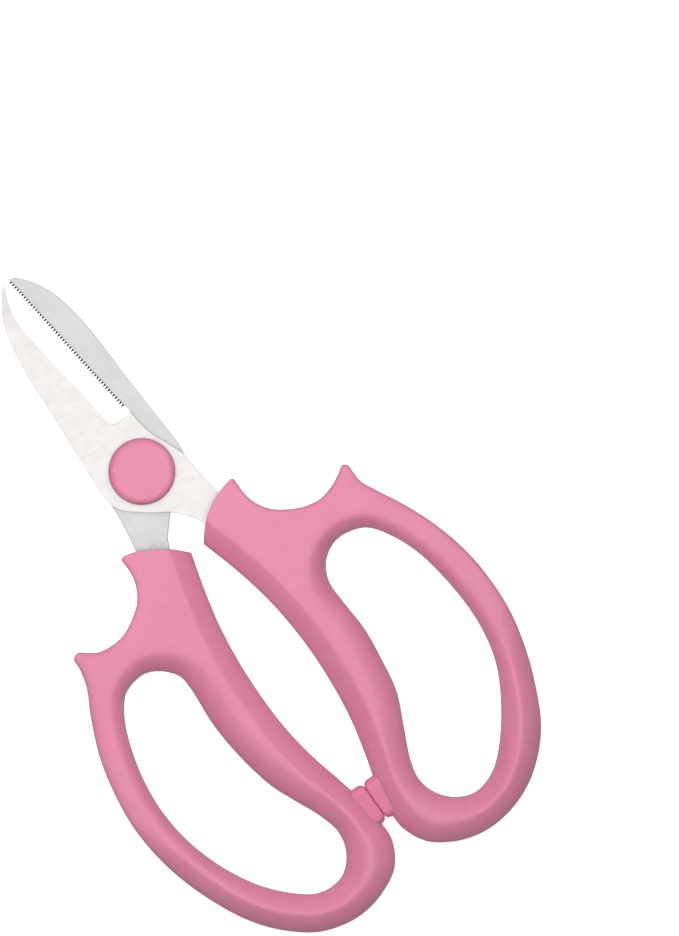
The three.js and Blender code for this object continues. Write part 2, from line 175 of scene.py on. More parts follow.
def signed_area(loop: Points) -> float:
    """Area inside a closed loop, positive when it runs counter-clockwise."""
    x, y = loop[:, 0], loop[:, 1]
    return 0.5 * float(np.sum(x * np.roll(y, -1) - np.roll(x, -1) * y))


def left_normals(loop: Points) -> Points:
    """Finds the unit normals of a closed loop.

    Args:
        loop: the loop's points.

    Returns:
        A normal for each point, on the left of the direction of travel.
    """
    along = np.roll(loop[:, :2], -1, axis=0) - np.roll(loop[:, :2], 1, axis=0)
    normal = np.stack([-along[:, 1], along[:, 0]], axis=1)
    return normal / np.linalg.norm(normal, axis=1, keepdims=True)


def inside(points: Points, loop: Points) -> np.ndarray:
    """Tells which points lie inside a closed loop.

    Args:
        points: x and y of each point.
        loop: the loop's points.

    Returns:
        True for each point that lies inside.
    """
    result = np.zeros(len(points), bool)
    x, y = points[:, 0], points[:, 1]
    for (ax, ay), (bx, by) in zip(loop[:, :2], np.roll(loop[:, :2], -1, axis=0)):
        if ay == by:
            continue
        crosses = (ay > y) != (by > y)
        result ^= crosses & (x < (bx - ax) * (y - ay) / (by - ay) + ax)
    return result


class NearestLine:
    """Distance to a finely sampled line, and the line's own values at the nearest place."""

    def __init__(self, line: Points) -> None:
        """Stores the line: x, y and any further values for each sample."""
        self.line = line
        self.tree = KDTree(len(line))
        for i, sample in enumerate(line):
            self.tree.insert((sample[0], sample[1], 0), i)
        self.tree.balance()

    def look_up(self, points: Points) -> tuple[np.ndarray, Points]:
        """Finds the nearest place for each point.

        Args:
            points: x and y of each point.

        Returns:
            The distances, and the line's rows at the nearest samples.
        """
        found = [self.tree.find((x, y, 0)) for x, y in points[:, :2]]
        distance = np.array([f[2] for f in found])
        return distance, self.line[[f[1] for f in found]]


# ------------------------------------------------------------------------------ meshes


def mesh_object(name: str, vertices: Points, faces: Sequence[Sequence[int]]) -> bpy.types.Object:
    """Makes an object from vertices in millimetres.

    Args:
        name: the object's name.
        vertices: x, y and z of each vertex in millimetres.
        faces: vertex numbers of each face, counter-clockwise from outside.

    Returns:
        The object, linked to the scene.
    """
    mesh = bpy.data.meshes.new(name)
    mesh.from_pydata((np.asarray(vertices) * MM).tolist(), [], faces)
    mesh.validate()
    made = bpy.data.objects.new(name, mesh)
    bpy.context.scene.collection.objects.link(made)
    return made


def shade(target: bpy.types.Object, sharp_degrees: float) -> None:
    """Shades a mesh smooth, with hard edges where it turns more sharply than the angle."""
    target.data.shade_smooth()
    target.data.set_sharp_from_angle(angle=math.radians(sharp_degrees))


def settled(target: bpy.types.Object) -> bpy.types.Object:
    """Replaces an object's mesh by what its modifiers make of it, and removes them.

    Args:
        target: the object with its modifiers.

    Returns:
        The same object.
    """
    graph = bpy.context.evaluated_depsgraph_get()
    result = bpy.data.meshes.new_from_object(target.evaluated_get(graph))
    target.modifiers.clear()
    target.data = result
    return target


def carve(target: bpy.types.Object, cutters: Sequence[bpy.types.Object]) -> bpy.types.Object:
    """Cuts solids out of a mesh and deletes them.

    Args:
        target: the mesh that is cut.
        cutters: the closed solids that are taken away.

    Returns:
        The cut object.
    """
    for cutter in cutters:
        step = target.modifiers.new("cut", "BOOLEAN")
        step.operation = "DIFFERENCE"
        step.solver = "EXACT"
        step.material_mode = "TRANSFER"
        step.object = cutter
    settled(target)
    for cutter in cutters:
        bpy.data.objects.remove(cutter)
    return target


def loft(rings: Sequence[Points]) -> tuple[Points, list[tuple[int, ...]]]:
    """Skins equal rings of points and closes both ends.

    Args:
        rings: rings of the same number of points, each counter-clockwise seen from the last.

    Returns:
        Vertices and faces.
    """
    size = len(rings[0])
    faces: list[tuple[int, ...]] = [tuple(reversed(range(size)))]
    for level in range(len(rings) - 1):
        low, high = level * size, (level + 1) * size
        for i in range(size):
            j = (i + 1) % size
            faces.append((low + i, low + j, high + j, high + i))
    last = (len(rings) - 1) * size
    faces.append(tuple(range(last, last + size)))
    return np.vstack(rings), faces


def turned(name: str, profile: Sequence[tuple[float, float]], sides: int) -> bpy.types.Object:
    """A piece turned on the pivot axis.

    Args:
        name: the object's name.
        profile: radius and height in millimetres, from the axis out along the underside, up and
            back to the axis.
        sides: facets round the axis.

    Returns:
        The closed object.
    """
    angles = np.linspace(0, math.tau, sides, endpoint=False)
    vertices: list[tuple[float, float, float]] = []
    rings = []
    for radius, height in profile:
        around = angles if radius > 0 else angles[:1]
        numbers = len(vertices) + np.arange(len(around))
        rings.append(np.resize(numbers, sides).tolist())
        vertices += [(radius * math.cos(a), radius * math.sin(a), height) for a in around]
    faces = []
    for low, high in zip(rings, rings[1:]):
        for i in range(sides):
            j = (i + 1) % sides
            # a ring on the axis is one point, so its four-sided faces become triangles
            faces.append(tuple(dict.fromkeys((low[i], low[j], high[j], high[i]))))
    return mesh_object(name, np.array(vertices), faces)


@dataclass
class Slab:
    """A closed solid between a lower and an upper height map over a flat outline, in millimetres.

    Attributes:
        outline: the outer loop.
        holes: loops inside it that stay open.
        top: height of the upper surface at each point.
        bottom: height of the lower surface at each point.
        spacing: size of the triangles away from the rim.
        insets: distances from the rim of the rows of points that keep its slope even.
        creases: lines along which the upper surface bends.
        wall_levels: shares of the wall's height at which it has a further row of points.
        wall_bead: how far each of those rows stands out from the outline.
        rim_clearance: share of its inset that a row keeps from the rim at a tight corner.
        grid_clearance: space between the grid and the rows, in triangles.
        crease_clearance: space between the grid and a crease, in triangles.
    """

    outline: Points
    holes: list[Points]
    top: HeightMap
    bottom: HeightMap
    spacing: float
    insets: tuple[float, ...] = ()
    creases: list[Points] = field(default_factory=list)
    wall_levels: tuple[float, ...] = ()
    wall_bead: tuple[float, ...] = ()
    rim_clearance: float = 0.96
    grid_clearance: float = 0.6
    crease_clearance: float = 0.5

    def loops(self) -> list[Points]:
        """The outline counter-clockwise, then the holes clockwise."""
        outline = self.outline if signed_area(self.outline) > 0 else self.outline[::-1]
        return [outline, *(hole if signed_area(hole) < 0 else hole[::-1] for hole in self.holes)]

    def ring_points(self, loops: list[Points], near: NearestLine) -> Points:
        """Rows of points that follow the outline a little way in, for an even rim.

        Args:
            loops: the outline and the holes.
            near: all of them as one line to measure from.

        Returns:
            The points.
        """
        rows = [np.zeros((0, 2))]
        for loop in loops:
            normals = left_normals(loop)
            for inset in self.insets:
                row = loop + normals * inset
                distance, _ = near.look_up(row)
                rows.append(row[distance > self.rim_clearance * inset])
        return np.vstack(rows)

    def grid_points(self, loops: list[Points], near: NearestLine) -> Points:
        """An even triangular grid over the rest of the inside.

        Args:
            loops: the outline and the holes.
            near: all of them as one line to measure from.

        Returns:
            The points.
        """
        low, high = loops[0].min(0), loops[0].max(0)
        rows = []
        for i, y in enumerate(np.arange(low[1], high[1], self.spacing * math.sqrt(3) / 2)):
            across = np.arange(low[0] + (i % 2) * self.spacing / 2, high[0], self.spacing)
            rows.append(np.column_stack([across, np.full(len(across), y)]))
        grid = np.vstack(rows)
        grid = grid[self.covers(grid, loops)]
        clear = max(self.insets, default=0) + self.grid_clearance * self.spacing
        grid = grid[near.look_up(grid)[0] > clear]
        for crease in self.creases:
            space = NearestLine(crease).look_up(grid)[0]
            grid = grid[space > self.crease_clearance * self.spacing]
        return grid

    @staticmethod
    def covers(points: Points, loops: list[Points]) -> np.ndarray:
        """Tells which points lie inside the outline and outside every hole.

        Args:
            points: x and y of each point.
            loops: the outline and the holes.

        Returns:
            True for each point that the solid covers.
        """
        covered = inside(points, loops[0])
        for hole in loops[1:]:
            covered &= ~inside(points, hole)
        return covered

    def triangulate(self, name: str, loops: list[Points]) -> tuple[Points, list[tuple[int, ...]]]:
        """Fills the outline with triangles that keep its edges and the creases.

        Args:
            name: what the solid is, for an error.
            loops: the outline and the holes.

        Returns:
            The points, of which the loops' own come first, and the triangles.
        """
        near = NearestLine(np.vstack([
            even_steps(np.vstack([loop, loop[:1]]), FINE_STEP) for loop in loops
        ]))
        rings, grid = self.ring_points(loops, near), self.grid_points(loops, near)
        flat = np.vstack([*loops, *self.creases, rings, grid])
        edges, start = [], 0
        for loop in loops:
            edges += [(start + i, start + (i + 1) % len(loop)) for i in range(len(loop))]
            start += len(loop)
        rim = start
        for crease in self.creases:
            edges += [(start + i, start + i + 1) for i in range(len(crease) - 1)]
            start += len(crease)
        made = delaunay_2d_cdt([Vector(p) for p in flat.tolist()], edges, [], 0, MERGE_DISTANCE)
        spots = np.array([tuple(v) for v in made[0]])
        if len(spots) < rim or np.abs(spots[:rim] - flat[:rim]).max() > DRIFT_LIMIT:
            raise RuntimeError(f"{name}: the outline crosses itself")
        triangles = np.array([tuple(f) for f in made[2]])
        triangles = triangles[self.covers(spots[triangles].mean(1), loops)]
        return spots, [tuple(t) for t in triangles.tolist()]

    def build(self, name: str) -> bpy.types.Object:
        """Makes the mesh.

        Args:
            name: the object's name.

        Returns:
            The object, with top faces first, then the underside, then the walls.
        """
        loops = self.loops()
        spots, triangles = self.triangulate(name, loops)
        upper, lower = self.top(spots), self.bottom(spots)
        count = len(spots)
        vertices = [np.column_stack([spots, upper]), np.column_stack([spots, lower])]
        faces = [*triangles, *((a + count, c + count, b + count) for a, b, c in triangles)]
        total, start = 2 * count, 0
        for loop in loops:
            size = len(loop)
            normals = left_normals(loop)
            ring = np.arange(start, start + size)
            levels = [ring + count]
            for share, bead in zip(self.wall_levels, self.wall_bead):
                height = lower[ring] + (upper[ring] - lower[ring]) * share
                vertices.append(np.column_stack([loop - normals * bead, height]))
                levels.append(np.arange(total, total + size))
                total += size
            levels.append(ring)
            for low, high in zip(levels, levels[1:]):
                around = zip(low, np.roll(low, -1), np.roll(high, -1), high)
                faces += [tuple(int(corner) for corner in face) for face in around]
            start += size
        placed = np.vstack(vertices)
        used = np.zeros(len(placed), bool)
        used[[i for face in faces for i in face]] = True
        number = np.cumsum(used) - 1
        return mesh_object(
            name, placed[used], [tuple(int(number[i]) for i in face) for face in faces],
        )


# ------------------------------------------------------------------------------ finishes

MIX_A, MIX_B, MIX_COLOUR = 6, 7, 2  # sockets of a colour Mix node
WAVES_PER_UNIT = 20  # rings of a Wave node in one unit at scale 1


class GrindDirection(Enum):
    """Which way the fine lines of a ground face run, as an angle from +Y in degrees."""

    ACROSS_BLADE = 83.0
    ALONG_BLADE = 4.0


def start_material(name: str) -> tuple[bpy.types.Material, Any, Any, Any]:
    """Starts a material.

    Args:
        name: the material's name.

    Returns:
        The material, its node tree, its principled shader and its object coordinates.
    """
    material = bpy.data.materials.new(name)
    material.use_nodes = True
    tree = material.node_tree
    tree.nodes.clear()
    shader = add_node(tree, "ShaderNodeBsdfPrincipled")
    add_node(tree, "ShaderNodeOutputMaterial", {"Surface": shader.outputs["BSDF"]})
    coordinates = add_node(tree, "ShaderNodeTexCoord")
    return material, tree, shader, coordinates.outputs["Object"]


def per_metre(millimetres: float) -> float:
    """The noise scale that gives features of about this size on object coordinates."""
    return 1 / (millimetres * MM)


def feed(tree: Any, shader: Any, tint: Any, gloss: Any, bump: Any) -> None:
    """Links a colour, a roughness and a bump to a shader.

    Args:
        tree: the material's node tree.
        shader: the principled shader.
        tint: the Mix node that makes the colour.
        gloss: the Map Range node that makes the roughness.
        bump: the Bump node.
    """
    tree.links.new(tint.outputs[MIX_COLOUR], shader.inputs["Base Color"])
    tree.links.new(gloss.outputs["Result"], shader.inputs["Roughness"])
    tree.links.new(bump.outputs["Normal"], shader.inputs["Normal"])


@dataclass(frozen=True)
class MouldedPlastic:
    """Polypropylene, injection moulded in a fine-blasted die.

    The die's grain scatters the gloss into a satin sheen, and the colour drifts a little where the
    melt has flowed. The plastic isn't quite opaque: light that goes a few millimetres into it comes
    back redder, which keeps the shaded slopes warm.
    """

    name: str
    colour: str
    drift_colour: str
    roughness: float
    grain_mm: float  # about 0.1 mm on the real thing, drawn coarser so that it shows
    grain_depth: float
    drift_mm: float  # size of the patches in which the colour drifts
    gloss_level: float
    translucency: float  # share of the light that goes into the plastic
    scatter_mm: float = 2.5  # how far red light goes
    scatter_by_channel: tuple[float, float, float] = (1.0, 0.25, 0.35)
    refraction: float = 1.49  # polypropylene

    def material(self) -> bpy.types.Material:
        """Builds the material."""
        material, tree, shader, place = start_material(self.name)
        drift = add_node(tree, "ShaderNodeTexNoise", {
            "Vector": place, "Scale": per_metre(self.drift_mm), "Detail": 3.0, "Roughness": 0.55,
        })
        speckle = add_node(tree, "ShaderNodeTexNoise", {
            "Vector": place, "Scale": per_metre(self.grain_mm * 4), "Detail": 2.0,
        })
        share = add_node(tree, "ShaderNodeMix", {
            "Factor": 0.35, 2: drift.outputs["Fac"], 3: speckle.outputs["Fac"],
        })
        tone = add_node(tree, "ShaderNodeMapRange", {
            "Value": share.outputs[0], "From Min": 0.36, "From Max": 0.64,
        })
        tint = add_node(tree, "ShaderNodeMix", {
            0: tone.outputs["Result"], MIX_A: linear(self.drift_colour), MIX_B: linear(self.colour),
        }, data_type="RGBA")
        gloss = add_node(tree, "ShaderNodeMapRange", {
            "Value": speckle.outputs["Fac"], "From Min": 0.3, "From Max": 0.7,
            "To Min": self.roughness - 0.05, "To Max": self.roughness + 0.06,
        })
        grain = add_node(tree, "ShaderNodeTexNoise", {
            "Vector": place, "Scale": per_metre(self.grain_mm), "Detail": 2.0, "Roughness": 0.6,
        })
        bump = add_node(tree, "ShaderNodeBump", {
            "Height": grain.outputs["Fac"], "Strength": self.grain_depth, "Distance": 0.05 * MM,
        })
        feed(tree, shader, tint, gloss, bump)
        shader.inputs["IOR"].default_value = self.refraction
        shader.inputs["Specular IOR Level"].default_value = self.gloss_level
        shader.inputs["Subsurface Weight"].default_value = self.translucency
        shader.inputs["Subsurface Radius"].default_value = self.scatter_by_channel
        shader.inputs["Subsurface Scale"].default_value = self.scatter_mm * MM
        return material


@dataclass(frozen=True)
class GroundSteel:
    """Stainless blade steel, ground on a wheel.

    The wheel leaves short parallel scratches that spread the reflections along one direction, and
    faint cloudy patches where the finish was evened by hand.
    """

    name: str
    colour: str
    cloud_colour: str
    roughness: float
    direction: GrindDirection
    scratch_mm: float  # spacing of the lines: near 0.05 mm really, drawn coarser so that it shows
    scratch_depth: float
    cloud_mm: float  # size of the cloudy patches
    scratch_width: float = 0.03  # a scratch's width over its length

    def material(self) -> bpy.types.Material:
        """Builds the material."""
        material, tree, shader, place = start_material(self.name)
        turn = add_node(tree, "ShaderNodeMapping", {
            "Vector": place, "Rotation": (0, 0, math.radians(self.direction.value)),
        }, vector_type="TEXTURE")
        stretch = add_node(tree, "ShaderNodeMapping", {
            "Vector": turn.outputs["Vector"], "Scale": (1.0, self.scratch_width, 1.0),
        })
        lines = add_node(tree, "ShaderNodeTexNoise", {
            "Vector": stretch.outputs["Vector"], "Scale": per_metre(self.scratch_mm),
            "Detail": 4.0, "Roughness": 0.6,
        })
        cloud = add_node(tree, "ShaderNodeTexNoise", {
            "Vector": place, "Scale": per_metre(self.cloud_mm), "Detail": 4.0, "Roughness": 0.6,
        })
        tone = add_node(tree, "ShaderNodeMapRange", {
            "Value": cloud.outputs["Fac"], "From Min": 0.35, "From Max": 0.65,
        })
        tint = add_node(tree, "ShaderNodeMix", {
            0: tone.outputs["Result"], MIX_A: linear(self.cloud_colour), MIX_B: linear(self.colour),
        }, data_type="RGBA")
        gloss = add_node(tree, "ShaderNodeMapRange", {
            "Value": lines.outputs["Fac"], "From Min": 0.3, "From Max": 0.7,
            "To Min": self.roughness - 0.06, "To Max": self.roughness + 0.08,
        })
        bump = add_node(tree, "ShaderNodeBump", {
            "Height": lines.outputs["Fac"], "Strength": self.scratch_depth, "Distance": 0.02 * MM,
        })
        feed(tree, shader, tint, gloss, bump)
        shader.inputs["Metallic"].default_value = 1.0
        return material


@dataclass(frozen=True)
class TurnedSteel:
    """Zinc-plated steel of small turned fasteners: dull, slightly grey, with fine tool rings."""

    name: str
    colour: str
    stain_colour: str
    roughness: float
    ring_mm: float  # spacing of the tool rings
    stain_mm: float = 1.5

    def material(self) -> bpy.types.Material:
        """Builds the material."""
        material, tree, shader, place = start_material(self.name)
        rings = add_node(tree, "ShaderNodeTexWave", {
            "Vector": place, "Scale": per_metre(self.ring_mm) / WAVES_PER_UNIT, "Distortion": 0.6,
            "Detail": 2.0,
        }, wave_type="RINGS", rings_direction="Z")
        stain = add_node(tree, "ShaderNodeTexNoise", {
            "Vector": place, "Scale": per_metre(self.stain_mm), "Detail": 3.0,
        })
        tint = add_node(tree, "ShaderNodeMix", {
            0: stain.outputs["Fac"], MIX_A: linear(self.stain_colour), MIX_B: linear(self.colour),
        }, data_type="RGBA")
        gloss = add_node(tree, "ShaderNodeMapRange", {
            "Value": stain.outputs["Fac"], "To Min": self.roughness - 0.08,
            "To Max": self.roughness + 0.1,
        })
        bump = add_node(tree, "ShaderNodeBump", {
            "Height": rings.outputs["Fac"], "Strength": 0.2, "Distance": 0.01 * MM,
        })
        feed(tree, shader, tint, gloss, bump)
        shader.inputs["Metallic"].default_value = 1.0
        return material


HANDLE_PINK = MouldedPlastic(
    name="pink_moulded_polypropylene", colour="#DA86A5", drift_colour="#D580A0", roughness=0.42,
    grain_mm=0.35, grain_depth=0.18, drift_mm=16.0, gloss_level=0.8, translucency=0.6,
)
PAD_PINK = MouldedPlastic(
    name="pink_soft_elastomer", colour="#DA7F9F", drift_colour="#D37697", roughness=0.62,
    grain_mm=0.45, grain_depth=0.3, drift_mm=5.0, gloss_level=0.5, translucency=0.35,
)
CAP_PINK = MouldedPlastic(
    name="pink_moulded_cap", colour="#D781A0", drift_colour="#D37B9A", roughness=0.4,
    grain_mm=0.3, grain_depth=0.12, drift_mm=9.0, gloss_level=0.8, translucency=0.3,
)
NYLON = MouldedPlastic(
    name="natural_nylon", colour="#F0EFE6", drift_colour="#E6E4D8", roughness=0.5,
    grain_mm=0.3, grain_depth=0.15, drift_mm=4.0, gloss_level=0.4, translucency=0.3,
)
FACE_STEEL = GroundSteel(
    name="satin_ground_stainless", colour="#DEDAD9", cloud_colour="#D7D4D3", roughness=0.34,
    direction=GrindDirection.ACROSS_BLADE, scratch_mm=0.3, scratch_depth=0.25, cloud_mm=3.0,
)
BEVEL_STEEL = GroundSteel(
    name="fine_ground_stainless_bevel", colour="#F0F0F0", cloud_colour="#EBEBEB", roughness=0.22,
    direction=GrindDirection.ACROSS_BLADE, scratch_mm=0.25, scratch_depth=0.2, cloud_mm=4.0,
)
INNER_STEEL = GroundSteel(
    name="flat_ground_stainless", colour="#C4C4C4", cloud_colour="#BFBFBF", roughness=0.3,
    direction=GrindDirection.ALONG_BLADE, scratch_mm=0.3, scratch_depth=0.2, cloud_mm=5.0,
)
# the serrations' steel is painted near black as painted shade of their hollows, which reads as black
# dots
NOTCH_PAINTED_SHADE = GroundSteel(
    name="serration_painted_shade_steel", colour="#1F2022", cloud_colour="#191A1B", roughness=0.5,
    direction=GrindDirection.ACROSS_BLADE, scratch_mm=0.2, scratch_depth=0.2, cloud_mm=2.0,
)
SCREW_STEEL = TurnedSteel(
    name="zinc_plated_steel", colour="#C9CBCD", stain_colour="#B2B5B8", roughness=0.38, ring_mm=0.3,
)


@cache
def material_of(finish: MouldedPlastic | GroundSteel | TurnedSteel) -> bpy.types.Material:
    """The material of a finish, built once."""
    return finish.material()


# ------------------------------------------------------------------------------ blades


@dataclass
class Blade:
    """A stamped blade with a ground bevel; it is drawn as the front blade and turned for the rear.

    Lengths are in millimetres. The flat inner face lies on height 0 and the outer face on top.
    Stations such as bevel_start are distances along the cutting edge from its heel.
    """

    piece: str
    node: str
    body: str
    serrated: bool
    faces_down: bool
    thickness: float = 2.4
    edge_land: float = 0.3  # thickness left at the cutting edge
    edge_break: float = 0.09  # width of the deburred edge of the outer face
    inner_break: float = 0.14  # the same on the inner face
    break_slope: float = 0.8
    heel: tuple[float, float] = (5.9, 16.0)
    edge_end: tuple[float, float] = (0.5, 58.0)
    bevel_start: float = -2.2
    bevel_corner: float = 2.0  # radius of the bevel's far corner at its heel
    bevel_corner_turn: float = 86.0  # degrees of that corner that are drawn as a crease
    bevel_crease_end: float = 42.6
    step_width: float = 0.2  # run of the step from the outer face down to the bevel's heel
    step_foot: float = 0.85  # share of the corner that the foot of the step follows
    crease_spacing: tuple[float, float] = (0.3, 0.4)  # across the heel, along the bevel
    outline_spacing: float = 0.5
    tang_spacing: float = 0.6
    edge_spacing: float = 0.4
    pivot_hole: float = 2.55  # radius
    hole_sides: int = 48
    spacing: float = 1.2  # size of the triangles on the faces
    seat_spacing: float = 3.0
    seat_play: float = 0.05
    notch_count: int = 50
    notch_radius: float = 0.4  # under half of the pitch, so that no two cutters meet
    notch_setback: float = 0.2  # depth of a notch into the inner face
    notch_lean: float = 52.0  # degrees from upright, so that each notch is cut into the bevel
    face_heights: tuple[tuple[float, float], ...] = (  # the outer face thins to the tip
        (-50.0, 2.4), (20.0, 2.4), (28.0, 2.3), (36.0, 1.9), (43.3, 0.95),
    )
    bevel_widths: tuple[tuple[float, float], ...] = (
        (-2.2, 5.8), (10.0, 5.85), (20.0, 6.0), (30.0, 5.9), (35.4, 5.35), (39.8, 3.5), (42.1, 2.3),
        (43.3, 1.5),
    )
    spine: tuple[tuple[float, float], ...] = (
        (-0.3, 58.6), (-2, 57.7), (-4, 55.5), (-6, 52.5), (-7.7, 48.5), (-9.6, 38), (-10.4, 22),
        (-11.3, 6), (-11.5, 0), (-11.1, -2.5), (-9.8, -5), (-7, -7.5), (-3.7, -10), (0, -12.4),
        (2.2, -14.8), (4.4, -17.6), (6.2, -21.5),
    )
    tang: tuple[tuple[float, float], ...] = (
        (8.4, -30), (10.6, -43), (12, -46), (15, -47), (17.2, -45.4), (17.4, -42),
    )
    heel_side: tuple[tuple[float, float], ...] = (
        (15.6, -31), (13.8, -21.5), (12.6, -14.7), (11.8, -9), (11.3, -5), (11.2, -2.7),
        (10.4, -0.5), (9, 2.8), (7.6, 6), (6.6, 10), (6.2, 13.8),
    )

    def along(self) -> Points:
        """Unit direction of the cutting edge, from heel to tip."""
        run = np.subtract(self.edge_end, self.heel)
        return run / np.linalg.norm(run)

    def edge_frame(self, points: Points) -> tuple[np.ndarray, np.ndarray]:
        """Measures points from the cutting edge.

        Args:
            points: x and y of each point.

        Returns:
            Their distances along the edge from its heel, and in from the edge.
        """
        along = self.along()
        offset = points - np.array(self.heel)
        return offset @ along, offset @ np.array([-along[1], along[0]])

    def at(self, along: np.ndarray, inward: np.ndarray) -> Points:
        """Finds the points at given distances from the cutting edge.

        Args:
            along: distances along the edge from its heel.
            inward: distances in from the edge.

        Returns:
            x and y of each point.
        """
        run = self.along()
        across = np.array([-run[1], run[0]])
        return np.array(self.heel) + np.outer(along, run) + np.outer(inward, across)

    def bevel_width(self, along: np.ndarray) -> np.ndarray:
        """Width of the bevel at each place along the edge."""
        stations = smooth_curve(self.bevel_widths, False, 0.3)
        return np.interp(along, stations[:, 0], stations[:, 1])

    def start_of_bevel(self, along: np.ndarray, inward: np.ndarray) -> np.ndarray:
        """Where the bevel starts on a line this far in from the edge: its far corner is round."""
        left = np.clip(self.bevel_corner - (self.bevel_width(along) - inward), 0, self.bevel_corner)
        return self.bevel_start + self.bevel_corner - np.sqrt(self.bevel_corner**2 - left**2)

    def outer_height(self, points: Points) -> np.ndarray:
        """The outer face: flat, thinner to the tip, and falling over the bevel to the edge.

        Args:
            points: x and y of each point.

        Returns:
            The face's height at each point.
        """
        along, inward = self.edge_frame(points)
        width = self.bevel_width(along)
        face = np.interp(along, *np.transpose(self.face_heights))
        ground = self.edge_land + (face - self.edge_land) * np.clip(inward / width, 0, 1)
        inside_bevel = np.clip((along - self.start_of_bevel(along, inward)) / self.step_width, 0, 1)
        height = face - (face - ground) * inside_bevel
        return height - self.broken_edge(points, self.edge_break)

    def broken_edge(self, points: Points, size: float) -> np.ndarray:
        """How far the deburred edge of a face lies back from the face, for a break of this size."""
        return self.break_slope * size * np.clip(1 - self.rim.look_up(points)[0] / size, 0, 1)

    def outline(self) -> Points:
        """Draws the blade and notes the part of its rim that is deburred.

        Returns:
            The outline from the tip down the spine, round the tang and up the cutting edge.
        """
        spine = smooth_curve(self.spine, False, self.outline_spacing)
        round_tang = [self.spine[-1], *self.tang, self.heel_side[0]]
        tang = smooth_curve(round_tang, False, self.tang_spacing)
        heel = smooth_curve(self.heel_side, False, self.outline_spacing)
        corners = np.array([self.heel_side[-1], self.heel, self.edge_end, self.spine[0]])
        edge = even_steps(corners, self.edge_spacing)
        edge[np.abs(edge - self.heel).sum(1).argmin()] = self.heel
        edge[np.abs(edge - self.edge_end).sum(1).argmin()] = self.edge_end
        self.rim = NearestLine(even_steps(np.vstack([spine, tang, heel]), FINE_STEP))
        return np.vstack([spine[:-1], tang[:-1], heel[:-1], edge[:-1]])

    def lay(self, target: bpy.types.Object) -> bpy.types.Object:
        """Moves a mesh made with its inner face on height 0 to the blade's own place.

        Args:
            target: the object whose mesh is moved.

        Returns:
            The same object.
        """
        low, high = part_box(self.node)
        if self.faces_down:
            over = Matrix.Rotation(math.pi, 4, "Y")
            target.data.transform(Matrix.Translation((0, 0, high.z)) @ over)
        else:
            target.data.transform(Matrix.Translation((0, 0, low.z)))
        return target

    def tang_seat(self) -> bpy.types.Object:
        """Makes the solid that cuts the tang's seat.

        Returns:
            A blade without its bevel, a little larger all round.
        """
        outline = self.outline()
        loose = outline - left_normals(outline) * self.seat_play
        return self.lay(Slab(
            outline=loose, holes=[], spacing=self.seat_spacing,
            top=lambda points: np.full(len(points), self.thickness + self.seat_play),
            bottom=lambda points: np.full(len(points), -self.seat_play),
        ).build(f"{self.piece}_seat"))

    def creases(self) -> list[Points]:
        """Draws the lines along which the outer face bends.

        Returns:
            The line where the bevel meets the outer face, and the foot of the step at its heel.
        """
        across, lengthwise = self.crease_spacing
        straight = float(self.bevel_width(np.array([self.bevel_start]))[0]) - self.bevel_corner
        turn = np.linspace(0, math.radians(self.bevel_corner_turn), 12)
        inward = np.concatenate([
            np.arange(across, straight - self.step_width, across),
            straight + self.bevel_corner * np.sin(turn),
        ])
        start = self.start_of_bevel(np.full(len(inward), self.bevel_start), inward)
        along = np.arange(start[-1] + across, self.bevel_crease_end, lengthwise)
        shoulder = np.vstack([self.at(start, inward), self.at(along, self.bevel_width(along))])
        low = inward < straight + self.step_foot * self.bevel_corner
        foot = self.at(start[low] + self.step_width, inward[low])
        return [shoulder, foot]

    def notch_cutters(self) -> bpy.types.Object:
        """Lays a row of leaning four-sided cutters along the edge.

        Returns:
            The cutters as one mesh in the notches' near-black material, which paints the shade of
            their hollows.
        """
        tree, sockets = self.serration_tree()
        length = float(np.linalg.norm(np.subtract(self.edge_end, self.heel)))
        pitch = length / self.notch_count
        # a cutter's axis passes this far out from the edge, so that its corner reaches the setback
        axis = self.notch_setback - self.notch_radius / math.cos(math.radians(self.notch_lean))
        ends = self.at(np.array([pitch / 2, length - pitch / 2]), np.full(2, axis))
        run = self.along()
        lean = Matrix.Rotation(math.atan2(run[1], run[0]), 3, "Z") @ Matrix.Rotation(
            -math.radians(self.notch_lean), 3, "X",
        )
        holder = mesh_object(f"{self.piece}_cutters", np.zeros((1, 3)), [])
        step = holder.modifiers.new("edge_serrations", "NODES")
        step.node_group = tree
        # the notches' material is near black: painted shade in their hollows
        values = {
            "First notch": (*(ends[0] * MM), 0.0), "Last notch": (*(ends[1] * MM), 0.0),
            "Notches": self.notch_count, "Notch radius": self.notch_radius * MM,
            "Lean": tuple(lean.to_euler()),
            "Blade thickness": self.thickness * MM, "Notch painted shade": material_of(NOTCH_PAINTED_SHADE),
        }
        for name, value in values.items():
            step[sockets[name]] = value
        return settled(holder)

